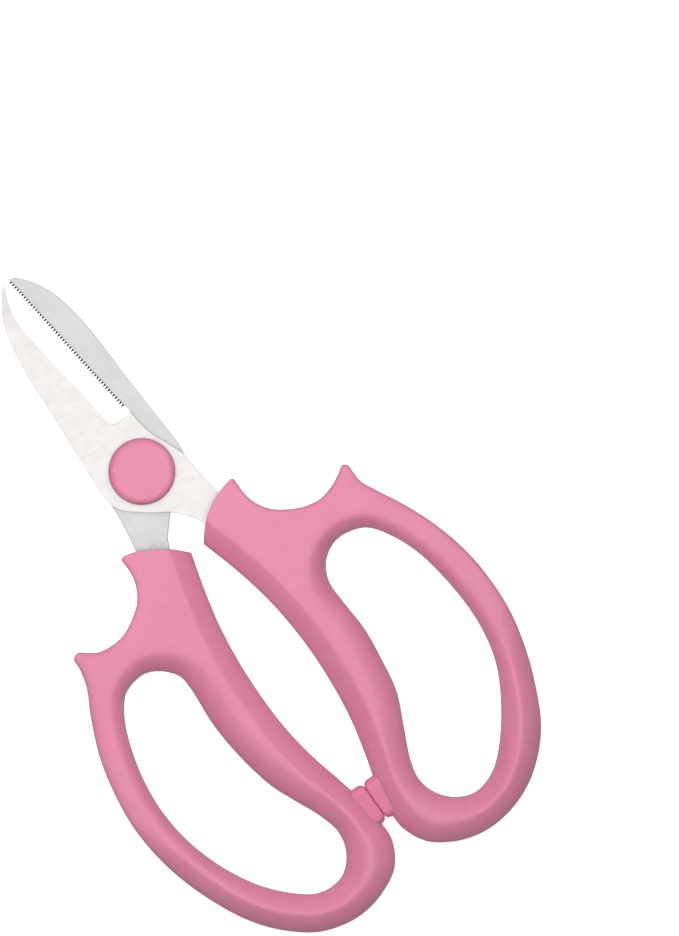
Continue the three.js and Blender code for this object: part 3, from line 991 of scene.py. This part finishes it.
    @staticmethod
    def serration_tree() -> tuple[bpy.types.NodeTree, dict[str, str]]:
        """Builds the Geometry Nodes tree that lays cutters at equal steps on a line.

        Returns:
            The tree, and the identifier of each of its inputs by name.
        """
        tree = bpy.data.node_groups.new("edge_serrations", "GeometryNodeTree")
        kinds = {
            "First notch": "NodeSocketVector", "Last notch": "NodeSocketVector",
            "Notches": "NodeSocketInt", "Notch radius": "NodeSocketFloat",
            "Lean": "NodeSocketVector", "Blade thickness": "NodeSocketFloat",
            "Notch painted shade": "NodeSocketMaterial",
        }
        sockets = {
            name: tree.interface.new_socket(name=name, in_out="INPUT", socket_type=kind).identifier
            for name, kind in kinds.items()
        }
        tree.interface.new_socket(name="Cutters", in_out="OUTPUT", socket_type="NodeSocketGeometry")
        given = add_node(tree, "NodeGroupInput").outputs
        line = add_node(tree, "GeometryNodeMeshLine", {
            "Count": given["Notches"], "Start Location": given["First notch"],
            "Offset": given["Last notch"],
        }, mode="END_POINTS")
        depth = add_node(tree, "ShaderNodeMath", {
            0: given["Blade thickness"], 1: 2.0,
        }, operation="MULTIPLY")
        cutter = add_node(tree, "GeometryNodeMeshCylinder", {
            "Vertices": 4, "Radius": given["Notch radius"], "Depth": depth.outputs[0],
        })
        placed = add_node(tree, "GeometryNodeInstanceOnPoints", {
            "Points": line.outputs["Mesh"], "Instance": cutter.outputs["Mesh"],
            "Rotation": given["Lean"],
        })
        real = add_node(tree, "GeometryNodeRealizeInstances", {
            "Geometry": placed.outputs["Instances"],
        })
        # the cutters carry the near-black material of painted shade
        dressed = add_node(tree, "GeometryNodeSetMaterial", {
            "Geometry": real.outputs["Geometry"], "Material": given["Notch painted shade"],
        })
        add_node(tree, "NodeGroupOutput", {"Cutters": dressed.outputs["Geometry"]})
        return tree, sockets

    def build(self) -> bpy.types.Object:
        """Makes the blade, cuts its serrations and lays it in place.

        Returns:
            The finished blade.
        """
        angles = np.linspace(0, math.tau, self.hole_sides, endpoint=False)
        hole = self.pivot_hole * np.column_stack([np.cos(angles), np.sin(angles)])
        outline = self.outline()
        blade = Slab(
            outline=outline, holes=[hole], top=self.outer_height,
            bottom=lambda points: self.broken_edge(points, self.inner_break),
            spacing=self.spacing, insets=(self.edge_break, self.inner_break),
            creases=self.creases(),
        ).build(self.piece)
        self.dress(blade)
        if self.serrated:
            # the notch walls keep the cutters' near-black material: painted shade in the serrations
            carve(blade, [self.notch_cutters()])
        self.lay(blade)
        shade(blade, SHARP_STEEL)
        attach(blade, self.body)
        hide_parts(self.node)
        return blade

    def dress(self, blade: bpy.types.Object) -> None:
        """Gives the outer face, the bevel and the inner face their finishes.

        Args:
            blade: the blade, with its inner face on height 0.
        """
        for finish in (FACE_STEEL, BEVEL_STEEL, INNER_STEEL):
            blade.data.materials.append(material_of(finish))
        polygons = blade.data.polygons
        centre = np.array([p.center for p in polygons]) / MM
        upright = np.array([p.normal.z for p in polygons])
        along, inward = self.edge_frame(centre[:, :2])
        in_bevel = inward < self.bevel_width(along)
        in_bevel &= along > self.start_of_bevel(along, inward)
        # the slots in order: what faces up, the bevel where it isn't a wall, what faces down
        for polygon, z, bevel in zip(polygons, upright, in_bevel):
            polygon.material_index = 2 if z < -0.5 else int(bevel and z > 0.1)


# ------------------------------------------------------------------------------ handles


class Rim(Enum):
    """How a handle falls away to its edge: width in millimetres, slope at crest and at edge."""

    GRIP = (5.3, 0.66, 1.12)
    BOTTOM = (5.2, 0.3, 1.3)
    LOW_BAR = (5.0, 0.28, 1.15)
    BAR = (3.0, 0.12, 0.5)
    REST = (2.4, 0.04, 0.3)
    LOOP_TOP = (4.2, 0.1, 2.2)
    LOOP_OUTER = (3.2, 0.35, 1.6)
    LOOP_INNER = (6.2, 0.2, 1.2)
    LOOP_BOTTOM = (4.7, 0.4, 1.3)


Run = tuple[Rim, tuple[tuple[float, float], ...]]


@dataclass
class Border:
    """A smooth line through runs of points, which carries its rim along with it."""

    runs: tuple[Run, ...]
    closed: bool
    ease: float = 9.0  # length over which one rim turns into the next, to either side

    def line(self, step: float) -> Points:
        """Samples the line.

        Args:
            step: spacing of the samples.

        Returns:
            x, y and the three numbers of the rim at each sample.
        """
        controls = [(*point, *rim.value) for rim, points in self.runs for point in points]
        line = smooth_curve(controls, self.closed, step)
        count = round(self.ease / step)
        weights = np.ones(2 * count + 1) / (2 * count + 1)
        for column in range(2, line.shape[1]):
            padded = np.pad(line[:, column], count, mode="wrap" if self.closed else "edge")
            line[:, column] = np.convolve(padded, weights, mode="valid")
        return line


@dataclass
class LoopHandle:
    """A moulded handle: a collar round the blade's tang, a finger rest and a finger loop.

    Lengths are in millimetres. The contour runs from one end of the collar round to the other. Both
    faces are alike, each with half of the handle's thickness above the parting plane.
    """

    piece: str
    node: str
    body: str
    contour: Border
    loop: Border
    collar: tuple[tuple[float, float], ...]
    half: float = 6.0  # half of the thickness
    edge_radius: float = 0.85
    collar_radius: float = 0.25
    blend: float = 0.22  # over which two slopes run together
    bead: float = 0.05  # height of the parting line's flash
    inset: float = 0.07  # keeps the flash within the moulding's outline
    step: float = 0.5
    spacing: float = 0.7  # size of the triangles on the faces
    run_out: float = 6.0  # how far the rims go on past the collar
    heading_samples: int = 30  # samples over which an end's direction is taken
    edge_rows: tuple[float, ...] = (0.08, 0.2, 0.36, 0.6, 0.95)
    wall_levels: tuple[float, ...] = (0.2, 0.42, 0.47, 0.5, 0.53, 0.58, 0.8)
    wall_bead_shares: tuple[float, ...] = (0, 0, 0.2, 1, 0.2, 0, 0)

    def run_on(self, line: Points) -> Points:
        """Lengthens the contour at both ends, past the collar, so that its rims run out there.

        Args:
            line: the contour's samples.

        Returns:
            The longer line.
        """
        reach = np.arange(FINE_STEP, self.run_out, FINE_STEP)[:, None]
        span = self.heading_samples
        before = line[0] + reach[::-1] * self.heading(line[0], line[span])
        after = line[-1] + reach * self.heading(line[-1], line[-span - 1])
        return np.vstack([before, line, after])

    @staticmethod
    def heading(end: Points, inner: Points) -> Points:
        """Finds which way a line ends.

        Args:
            end: its last sample.
            inner: a sample a little before.

        Returns:
            The unit direction, with no change in the rim's numbers.
        """
        away = end - inner
        away[2:] = 0
        return away / np.linalg.norm(away)

    def slope(self, distance: np.ndarray, rim: Points) -> np.ndarray:
        """Works out a rim's slope, which goes on rising past its crest.

        Args:
            distance: distances from the rim's edge.
            rim: samples of the line, with the rim's numbers.

        Returns:
            The height at each distance.
        """
        width, crest, edge = rim[:, 2], rim[:, 3], rim[:, 4]
        share = 1 - distance / width
        fall = crest * share + (edge - crest) * np.maximum(share, 0) ** 2 / 2
        return self.half - width * fall

    @staticmethod
    def rounding(distance: np.ndarray, radius: float) -> np.ndarray:
        """How far a round edge of this radius lies below a sharp one."""
        share = np.clip(1 - distance / radius, 0, 1)
        return radius * (1 - np.sqrt(1 - share * share))

    def height(self, points: Points) -> np.ndarray:
        """Works out the moulding's face.

        Args:
            points: x and y of each point.

        Returns:
            Height above the parting plane.
        """
        outer, contour_rim = self.contour_line.look_up(points)
        inner, loop_rim = self.loop_line.look_up(points)
        collar, _ = self.collar_line.look_up(points)
        level = soft_minimum(
            self.slope(outer, contour_rim), self.slope(inner, loop_rim), self.blend,
        )
        level = soft_minimum(level, np.full(len(points), self.half), self.blend)
        level -= self.rounding(np.minimum(outer, inner), self.edge_radius)
        return level - self.rounding(collar, self.collar_radius)

    def build(self, seats: Sequence[bpy.types.Object]) -> bpy.types.Object:
        """Makes the moulding and cuts its seats.

        Args:
            seats: solids of what is set in the moulding: the blade's tang and the stop pad's stem.

        Returns:
            The finished handle.
        """
        self.contour_line = NearestLine(self.run_on(self.contour.line(FINE_STEP)))
        self.loop_line = NearestLine(self.loop.line(FINE_STEP))
        collar = smooth_curve(self.collar, False, self.step)
        self.collar_line = NearestLine(even_steps(collar, FINE_STEP))
        outline = np.vstack([self.contour.line(self.step)[:-1, :2], collar[:-1]])
        outline += left_normals(outline) * self.inset
        middle = float(sum(corner.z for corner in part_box(self.node)) / 2 / MM)
        handle = Slab(
            outline=outline, holes=[self.loop.line(self.step)[:, :2]],
            top=lambda points: middle + self.height(points),
            bottom=lambda points: middle - self.height(points),
            spacing=self.spacing, insets=self.edge_rows, wall_levels=self.wall_levels,
            wall_bead=tuple(share * self.bead for share in self.wall_bead_shares),
        ).build(self.piece)
        handle.data.materials.append(material_of(HANDLE_PINK))
        carve(handle, seats)
        shade(handle, SHARP_PLASTIC)
        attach(handle, self.body)
        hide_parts(self.node)
        return handle


LEFT_HANDLE = LoopHandle(
    piece="left_handle_moulding", node="handle_left", body="rear_half",
    contour=Border(closed=False, runs=(
        (Rim.REST, (
            (-17, -15.8), (-16.85, -18.5), (-17.6, -22.3), (-19.9, -26.2), (-23.1, -28.7),
            (-27.3, -30.8), (-31, -31.3), (-35, -30.7), (-37.6, -29), (-39.4, -27.85),
            (-40.9, -28.7), (-41.1, -31.5),
        )),
        (Rim.BAR, (
            (-42.3, -36.2), (-45.6, -42.7), (-49.7, -52.7), (-52, -63), (-52.8, -73),
        )),
        (Rim.LOW_BAR, ((-51.6, -84.4), (-48.6, -94.8))),
        (Rim.BOTTOM, (
            (-43.1, -106.5), (-37.2, -114), (-29.3, -120), (-20, -122.3), (-12.2, -121.2),
            (-5.1, -117.4),
        )),
        (Rim.GRIP, (
            (-1.6, -111.4), (-1.4, -106.5), (-2.2, -98.5), (-3.9, -91), (-6, -82.3), (-7.4, -73),
            (-7.8, -62), (-7.3, -51.5), (-6.2, -42.7), (-4.3, -33.9), (-2.4, -26.7), (-1.5, -23.7),
        )),
    )),
    loop=Border(closed=True, runs=(
        (Rim.LOOP_TOP, ((-27.2, -42.2), (-30.1, -41.75), (-35, -43.1))),
        (Rim.LOOP_OUTER, (
            (-38.5, -47.2), (-41.4, -53.5), (-43.9, -63), (-44.7, -72), (-43.8, -81.5), (-41, -91),
        )),
        (Rim.LOOP_BOTTOM, (
            (-36, -100.7), (-30.2, -107.5), (-24.8, -111.5), (-20.2, -112.25), (-16.2, -111.1),
        )),
        (Rim.LOOP_INNER, (
            (-12.7, -107.1), (-11.5, -101.9), (-13.1, -95.7), (-16, -89.2), (-18.7, -82.75),
            (-20.9, -72.3), (-21.75, -62), (-21.2, -51.5), (-21.6, -47.6), (-23.9, -44.4),
        )),
    )),
    collar=(
        (-1.5, -23.7), (-3.2, -21.9), (-5, -20.2), (-7.5, -18.5), (-9.9, -17), (-12.3, -15.7),
        (-15, -14.8), (-16.3, -14.65), (-16.9, -15.1), (-17, -15.8),
    ),
)
RIGHT_HANDLE = LoopHandle(
    piece="right_handle_moulding", node="handle_right", body="front_half",
    contour=Border(closed=False, runs=(
        (Rim.GRIP, (
            (2.1, -23.7), (3, -26.5), (5.25, -34.3), (7.1, -42.7), (8.2, -50.5), (8.75, -60.5),
            (8.3, -71.5), (7.1, -81.1), (5, -90.25), (2.7, -99), (1.95, -106.5), (2.3, -110.8),
        )),
        (Rim.BOTTOM, (
            (5, -116.3), (10.1, -120.2), (15.8, -122.4), (21.7, -123), (29.8, -121.5),
            (37.4, -117.5), (44.8, -110.1),
        )),
        (Rim.LOW_BAR, ((50.1, -100), (53.8, -89.4))),
        (Rim.BAR, (
            (55.6, -80.2), (55.9, -72), (55.2, -63.5), (52.75, -53.5), (49, -44.3), (45.1, -36.9),
        )),
        (Rim.REST, (
            (43.4, -33.2), (43.2, -30.2), (43.1, -28.2), (41.9, -27.3), (39.8, -28.6),
            (36.5, -30.2), (32.3, -31.1), (27.75, -30.2), (24, -28.3), (21.1, -26.1),
            (18.9, -22.9), (17.9, -19.5), (17.75, -15.6),
        )),
    )),
    loop=Border(closed=True, runs=(
        (Rim.LOOP_TOP, ((37.75, -43.5), (31.9, -41.75), (27.75, -42.6), (24.3, -45.4))),
        (Rim.LOOP_INNER, (
            (22.5, -49.5), (22.5, -55), (23, -64), (22.3, -71.4), (20.6, -81.5), (17.1, -89.6),
            (13.6, -97.6), (12.6, -102.7),
        )),
        (Rim.LOOP_BOTTOM, (
            (13.8, -107.3), (17.3, -111.5), (22.3, -113.45), (28.2, -112), (34.2, -107),
            (41.5, -97.1),
        )),
        (Rim.LOOP_OUTER, (
            (45.5, -88.6), (47.3, -78.5), (47, -67.7), (44.9, -56), (41.5, -48.2),
        )),
    )),
    collar=(
        (17.75, -15.6), (17.75, -14.7), (17.1, -14.15), (16, -14.3), (12.3, -15.4), (9, -17.1),
        (5.1, -20.1), (3.4, -22), (2.1, -23.7),
    ),
)


# ------------------------------------------------------------------------------ stop pads


@dataclass
class StopPad:
    """A soft pad pressed into a handle by its stem. The two pads meet when the snips are shut."""

    piece: str
    node: str
    body: str
    side: int  # -1 on the left, 1 on the right
    height_share: float = 0.6  # of the handle's thickness
    corner: float = 2.2
    end_crown: float = 1.5  # how far the contact face is rounded at its ends
    face_crown: float = 0.8  # the same at its upper and lower edges
    contact_x: float = 0.3
    contact_gap: float = 0.02
    depth: float = 4.5
    stem_radius: float = 1.8
    stem_length: float = 3.6
    stem_chamfer: float = 0.3
    seat_play: float = 0.03
    corner_points: int = 16
    crown_rings: int = 12

    def section(
        self, along: float, half_length: float, half_height: float, corner: float,
    ) -> Points:
        """One rounded rectangle across the pad.

        Args:
            along: distance in front of the pad's back.
            half_length: half of the rectangle's size along the handle.
            half_height: half of its size across the snips' thickness.
            corner: radius of its corners.

        Returns:
            The ring, counter-clockwise seen from in front.
        """
        ring = []
        right_angle = math.pi / 2
        for quarter, (sy, sz) in enumerate(((1, 1), (-1, 1), (-1, -1), (1, -1))):
            first, last = quarter * right_angle, (quarter + 1) * right_angle
            for angle in np.linspace(first, last, self.corner_points):
                ring.append((
                    along,
                    sy * (half_length - corner) + corner * math.cos(angle),
                    sz * (half_height - corner) + corner * math.sin(angle),
                ))
        return np.array(ring)

    def solid(self, name: str, grow: float) -> bpy.types.Object:
        """Makes the pad with its stem, or the larger solid that cuts its seat.

        Args:
            name: the object's name.
            grow: how much larger than the pad it is on every side.

        Returns:
            The closed object in the pad's place.
        """
        low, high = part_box(self.node)
        half_length = (high.y - low.y) / 2 / MM + grow
        half_height = self.height_share * (high.z - low.z) / 2 / MM + grow
        front = self.depth - self.contact_gap
        stem, end = self.stem_radius + grow, -self.stem_length - grow
        tip = stem - self.stem_chamfer
        rings = [
            self.section(end, tip, tip, tip),
            self.section(end + self.stem_chamfer, stem, stem, stem),
            self.section(-grow, stem, stem, stem),
            self.section(-grow, half_length, half_height, self.corner),
        ]
        for angle in np.linspace(0, math.pi / 2, self.crown_rings):
            end_fall = self.end_crown * (1 - math.cos(angle))
            back = self.end_crown * (1 - math.sin(angle))
            share = max(0, 1 - back / self.face_crown)
            face_fall = self.face_crown * (1 - math.sqrt(1 - share**2))
            rings.append(self.section(
                front - back, half_length - end_fall, half_height - face_fall,
                self.corner - end_fall,
            ))
        pad = mesh_object(name, *loft(rings))
        turn = Matrix.Rotation(math.pi if self.side > 0 else 0, 4, "Z")
        foot = (self.contact_x + self.side * self.depth) * MM
        middle = (low + high) / 2
        pad.data.transform(Matrix.Translation((foot, middle.y, middle.z)) @ turn)
        return pad

    def build(self) -> bpy.types.Object:
        """Makes the pad.

        Returns:
            The finished pad.
        """
        pad = self.solid(self.piece, 0)
        pad.data.materials.append(material_of(PAD_PINK))
        shade(pad, SHARP_PLASTIC)
        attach(pad, self.body)
        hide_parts(self.node)
        return pad


# ------------------------------------------------------------------------------ pivot


@dataclass
class PivotCap:
    """A moulded cap over the screw's head, or over the nut when it faces down.

    Lengths are in millimetres.
    """

    piece: str
    node: str
    faces_down: bool
    seat_radius: float
    seat_depth: float
    rim_radius: float = 1.8
    crown: float = 0.12  # how far the middle of the face stands above its rim
    lip: float = 0.15  # chamfer of the seat and of the lower edge
    sides: int = 96
    rim_points: int = 14
    crown_points: int = 10

    def profile(self, radius: float, height: float) -> list[tuple[float, float]]:
        """Draws half of the cap's section.

        Args:
            radius: the cap's radius.
            height: its height.

        Returns:
            Radius and height of each corner, from the middle of its seat to that of its crown.
        """
        line = [
            (0.0, self.seat_depth), (self.seat_radius - self.lip, self.seat_depth),
            (self.seat_radius, self.seat_depth - self.lip), (self.seat_radius, self.lip),
            (self.seat_radius + self.lip, 0.0), (radius - self.lip, 0.0), (radius, self.lip),
        ]
        shoulder = height - self.crown
        for angle in np.linspace(0, math.pi / 2, self.rim_points):
            line.append((
                radius - self.rim_radius * (1 - math.cos(angle)),
                shoulder - self.rim_radius * (1 - math.sin(angle)),
            ))
        flat = radius - self.rim_radius
        for share in np.linspace(1, 0, self.crown_points)[1:]:
            line.append((flat * share, shoulder + self.crown * (1 - share**2)))
        return line

    def build(self) -> bpy.types.Object:
        """Makes the cap and lays it over its node.

        Returns:
            The finished cap.
        """
        low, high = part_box(self.node)
        cap = turned(self.piece, self.profile(high.x / MM, (high.z - low.z) / MM), self.sides)
        if self.faces_down:
            over = Matrix.Rotation(math.pi, 4, "X")
            cap.data.transform(Matrix.Translation((0, 0, high.z)) @ over)
        else:
            cap.data.transform(Matrix.Translation((0, 0, low.z)))
        cap.data.materials.append(material_of(CAP_PINK))
        shade(cap, SHARP_PLASTIC)
        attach(cap, "rear_half")
        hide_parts(self.node)
        return cap


@dataclass
class PivotStack:
    """The pivot's screw, nut and washers, which keep their own shapes and get their finishes."""

    finishes: dict[str, MouldedPlastic | TurnedSteel]

    def dress(self) -> None:
        """Gives each piece its finish."""
        for node, finish in self.finishes.items():
            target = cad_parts[node]
            for slot in target.material_slots:
                slot.material = material_of(finish)
            LOG.info("dressed %s", node)


# ------------------------------------------------------------------------------ studio


@dataclass
class Studio:
    """A white floor, soft light from above and from beyond the blades, and the camera overhead.

    Lengths are in metres, and the levels are strengths of the sky's light.
    """

    floor_size: float = 6.0
    floor_drop: float = 0.0005
    floor_glow: float = 0.7
    zenith: float = 1.48
    horizon: float = 0.13
    mirrored_horizon: float = 0.5  # what steel sees there
    below: float = 0.2
    sky_spread: float = 0.74  # sine of the height at which the sky starts to brighten
    side_panel: tuple[float, float, float] = (0.649, 0.132, 0.752)  # the way to a bright card
    side_panel_level: float = 1.15
    side_panel_edge: tuple[float, float] = (0.93, 0.975)  # cosines at its soft rim
    key_place: tuple[float, float, float] = (0.005, 0.045, 0.32)
    key_aim: tuple[float, float, float] = (0.01, -0.03, 0.0)
    key_size: float = 0.25
    key_power: float = 0.78
    camera_place: tuple[float, float, float] = (0.04095, -0.0276, 2.5)
    camera_turn: float = -35.0
    view_length: float = 0.234
    view_height: float = 0.008  # where the view has that length: between the blades and the caps
    sensor: float = 36.0

    def floor(self) -> None:
        """Lays the floor."""
        material, tree, shader, place = start_material("white_painted_board")
        cloud = add_node(tree, "ShaderNodeTexNoise", {
            "Vector": place, "Scale": per_metre(300), "Detail": 2.0,
        })
        tint = add_node(tree, "ShaderNodeMix", {
            0: cloud.outputs["Fac"], MIX_A: linear("#F8F8F8"), MIX_B: linear("#FCFCFC"),
        }, data_type="RGBA")
        tree.links.new(tint.outputs[MIX_COLOUR], shader.inputs["Base Color"])
        shader.inputs["Roughness"].default_value = 0.9
        shader.inputs["Specular IOR Level"].default_value = 0.1
        shader.inputs["Emission Color"].default_value = (1, 1, 1, 1)
        shader.inputs["Emission Strength"].default_value = self.floor_glow
        half = self.floor_size / 2 / MM
        low = -self.floor_drop / MM
        floor = mesh_object("studio_floor", np.array([
            (-half, -half, low), (half, -half, low), (half, half, low), (-half, half, low),
        ]), [(0, 1, 2, 3)])
        floor.data.materials.append(material)
        floor.visible_diffuse = False
        floor.visible_glossy = False

    def sky(self) -> None:
        """Makes the light of the room: bright overhead and dimmer towards the horizon."""
        world = bpy.data.worlds.new("studio_room")
        world.use_nodes = True
        tree = world.node_tree
        tree.nodes.clear()
        direction = add_node(tree, "ShaderNodeTexCoord").outputs["Generated"]
        up = add_node(tree, "ShaderNodeSeparateXYZ", {"Vector": direction}).outputs["Z"]
        # pale cards round the table: polished steel mirrors them, and they hardly light the rest
        horizon = add_node(tree, "ShaderNodeMapRange", {
            "Value": add_node(tree, "ShaderNodeLightPath").outputs["Is Glossy Ray"],
            "To Min": self.horizon, "To Max": self.mirrored_horizon,
        }).outputs["Result"]
        above = add_node(tree, "ShaderNodeMapRange", {
            "Value": up, "From Min": self.sky_spread, "From Max": 1.0, "To Min": horizon,
            "To Max": self.zenith,
        }, interpolation_type="SMOOTHSTEP").outputs["Result"]
        under = add_node(tree, "ShaderNodeMapRange", {
            "Value": up, "From Min": -0.1, "From Max": 0.0, "To Min": self.below, "To Max": 0.0,
        }).outputs["Result"]
        toward_panel = add_node(tree, "ShaderNodeVectorMath", {
            0: direction, 1: tuple(Vector(self.side_panel).normalized()),
        }, operation="DOT_PRODUCT").outputs["Value"]
        panel = add_node(tree, "ShaderNodeMapRange", {
            "Value": toward_panel, "From Min": self.side_panel_edge[0],
            "From Max": self.side_panel_edge[1], "To Min": 0.0, "To Max": self.side_panel_level,
        }, interpolation_type="SMOOTHSTEP").outputs["Result"]
        level = above
        for more in (under, panel):
            total = add_node(tree, "ShaderNodeMath", {0: level, 1: more}, operation="ADD")
            level = total.outputs[0]
        glow = add_node(tree, "ShaderNodeBackground", {"Color": (1, 1, 1, 1), "Strength": level})
        add_node(tree, "ShaderNodeOutputWorld", {"Surface": glow.outputs["Background"]})
        bpy.context.scene.world = world

    def key(self) -> None:
        """Hangs the soft key light beyond the blades."""
        lamp = bpy.data.lights.new("key_softbox", "AREA")
        lamp.shape = "DISK"
        lamp.size = self.key_size
        lamp.energy = self.key_power
        made = bpy.data.objects.new("key_softbox", lamp)
        made.location = self.key_place
        aim = Vector(self.key_aim) - Vector(self.key_place)
        made.rotation_euler = aim.to_track_quat("-Z", "Y").to_euler()
        made.visible_glossy = False
        bpy.context.scene.collection.objects.link(made)

    def camera(self) -> None:
        """Sets the camera straight above, turned in its own plane."""
        lens = bpy.data.cameras.new("overhead_camera")
        lens.sensor_width = self.sensor
        lens.lens = self.sensor * (self.camera_place[2] - self.view_height) / self.view_length
        lens.clip_end = 20
        made = bpy.data.objects.new("overhead_camera", lens)
        made.location = self.camera_place
        made.rotation_euler = (0, 0, math.radians(self.camera_turn))
        bpy.context.scene.collection.objects.link(made)
        bpy.context.scene.camera = made

    def build(self) -> None:
        """Sets everything up."""
        self.floor()
        self.sky()
        self.key()
        self.camera()
        bpy.context.scene.view_settings.view_transform = "Standard"
        bpy.context.scene.view_settings.look = "None"


# ------------------------------------------------------------------------------ the whole


def report(piece: bpy.types.Object) -> None:
    """Logs a finished piece."""
    LOG.info("%s: %d faces", piece.name, len(piece.data.polygons))


def main() -> None:
    """Builds the snips and the studio."""
    logging.basicConfig(level=logging.INFO, format="%(name)s: %(message)s")
    rear_blade = Blade(
        "rear_blade_steel", "blade_rear", "rear_half", serrated=False, faces_down=True,
    )
    front_blade = Blade(
        "front_blade_steel", "blade_front", "front_half", serrated=True, faces_down=False,
    )
    left_pad = StopPad("left_stop_pad", "bumper_left", "rear_half", side=-1)
    right_pad = StopPad("right_stop_pad", "bumper_right", "front_half", side=1)
    for blade, pad, handle in (
        (rear_blade, left_pad, LEFT_HANDLE), (front_blade, right_pad, RIGHT_HANDLE),
    ):
        report(blade.build())
        report(pad.build())
        seats = [blade.tang_seat(), pad.solid(f"{pad.piece}_seat", pad.seat_play)]
        report(handle.build(seats))
    for cap in (
        PivotCap("front_pivot_cap", "cap_front", False, seat_radius=4.45, seat_depth=2.1),
        PivotCap("rear_pivot_cap", "cap_rear", True, seat_radius=4.09, seat_depth=2.3),
    ):
        report(cap.build())
    PivotStack({
        "friction_washer": NYLON, "pivot_screw": SCREW_STEEL, "pivot_nut": SCREW_STEEL,
        "spring_washer": SCREW_STEEL,
    }).dress()
    Studio().build()
    bpy.context.view_layer.update()


if __name__ == "__main__":
    main()
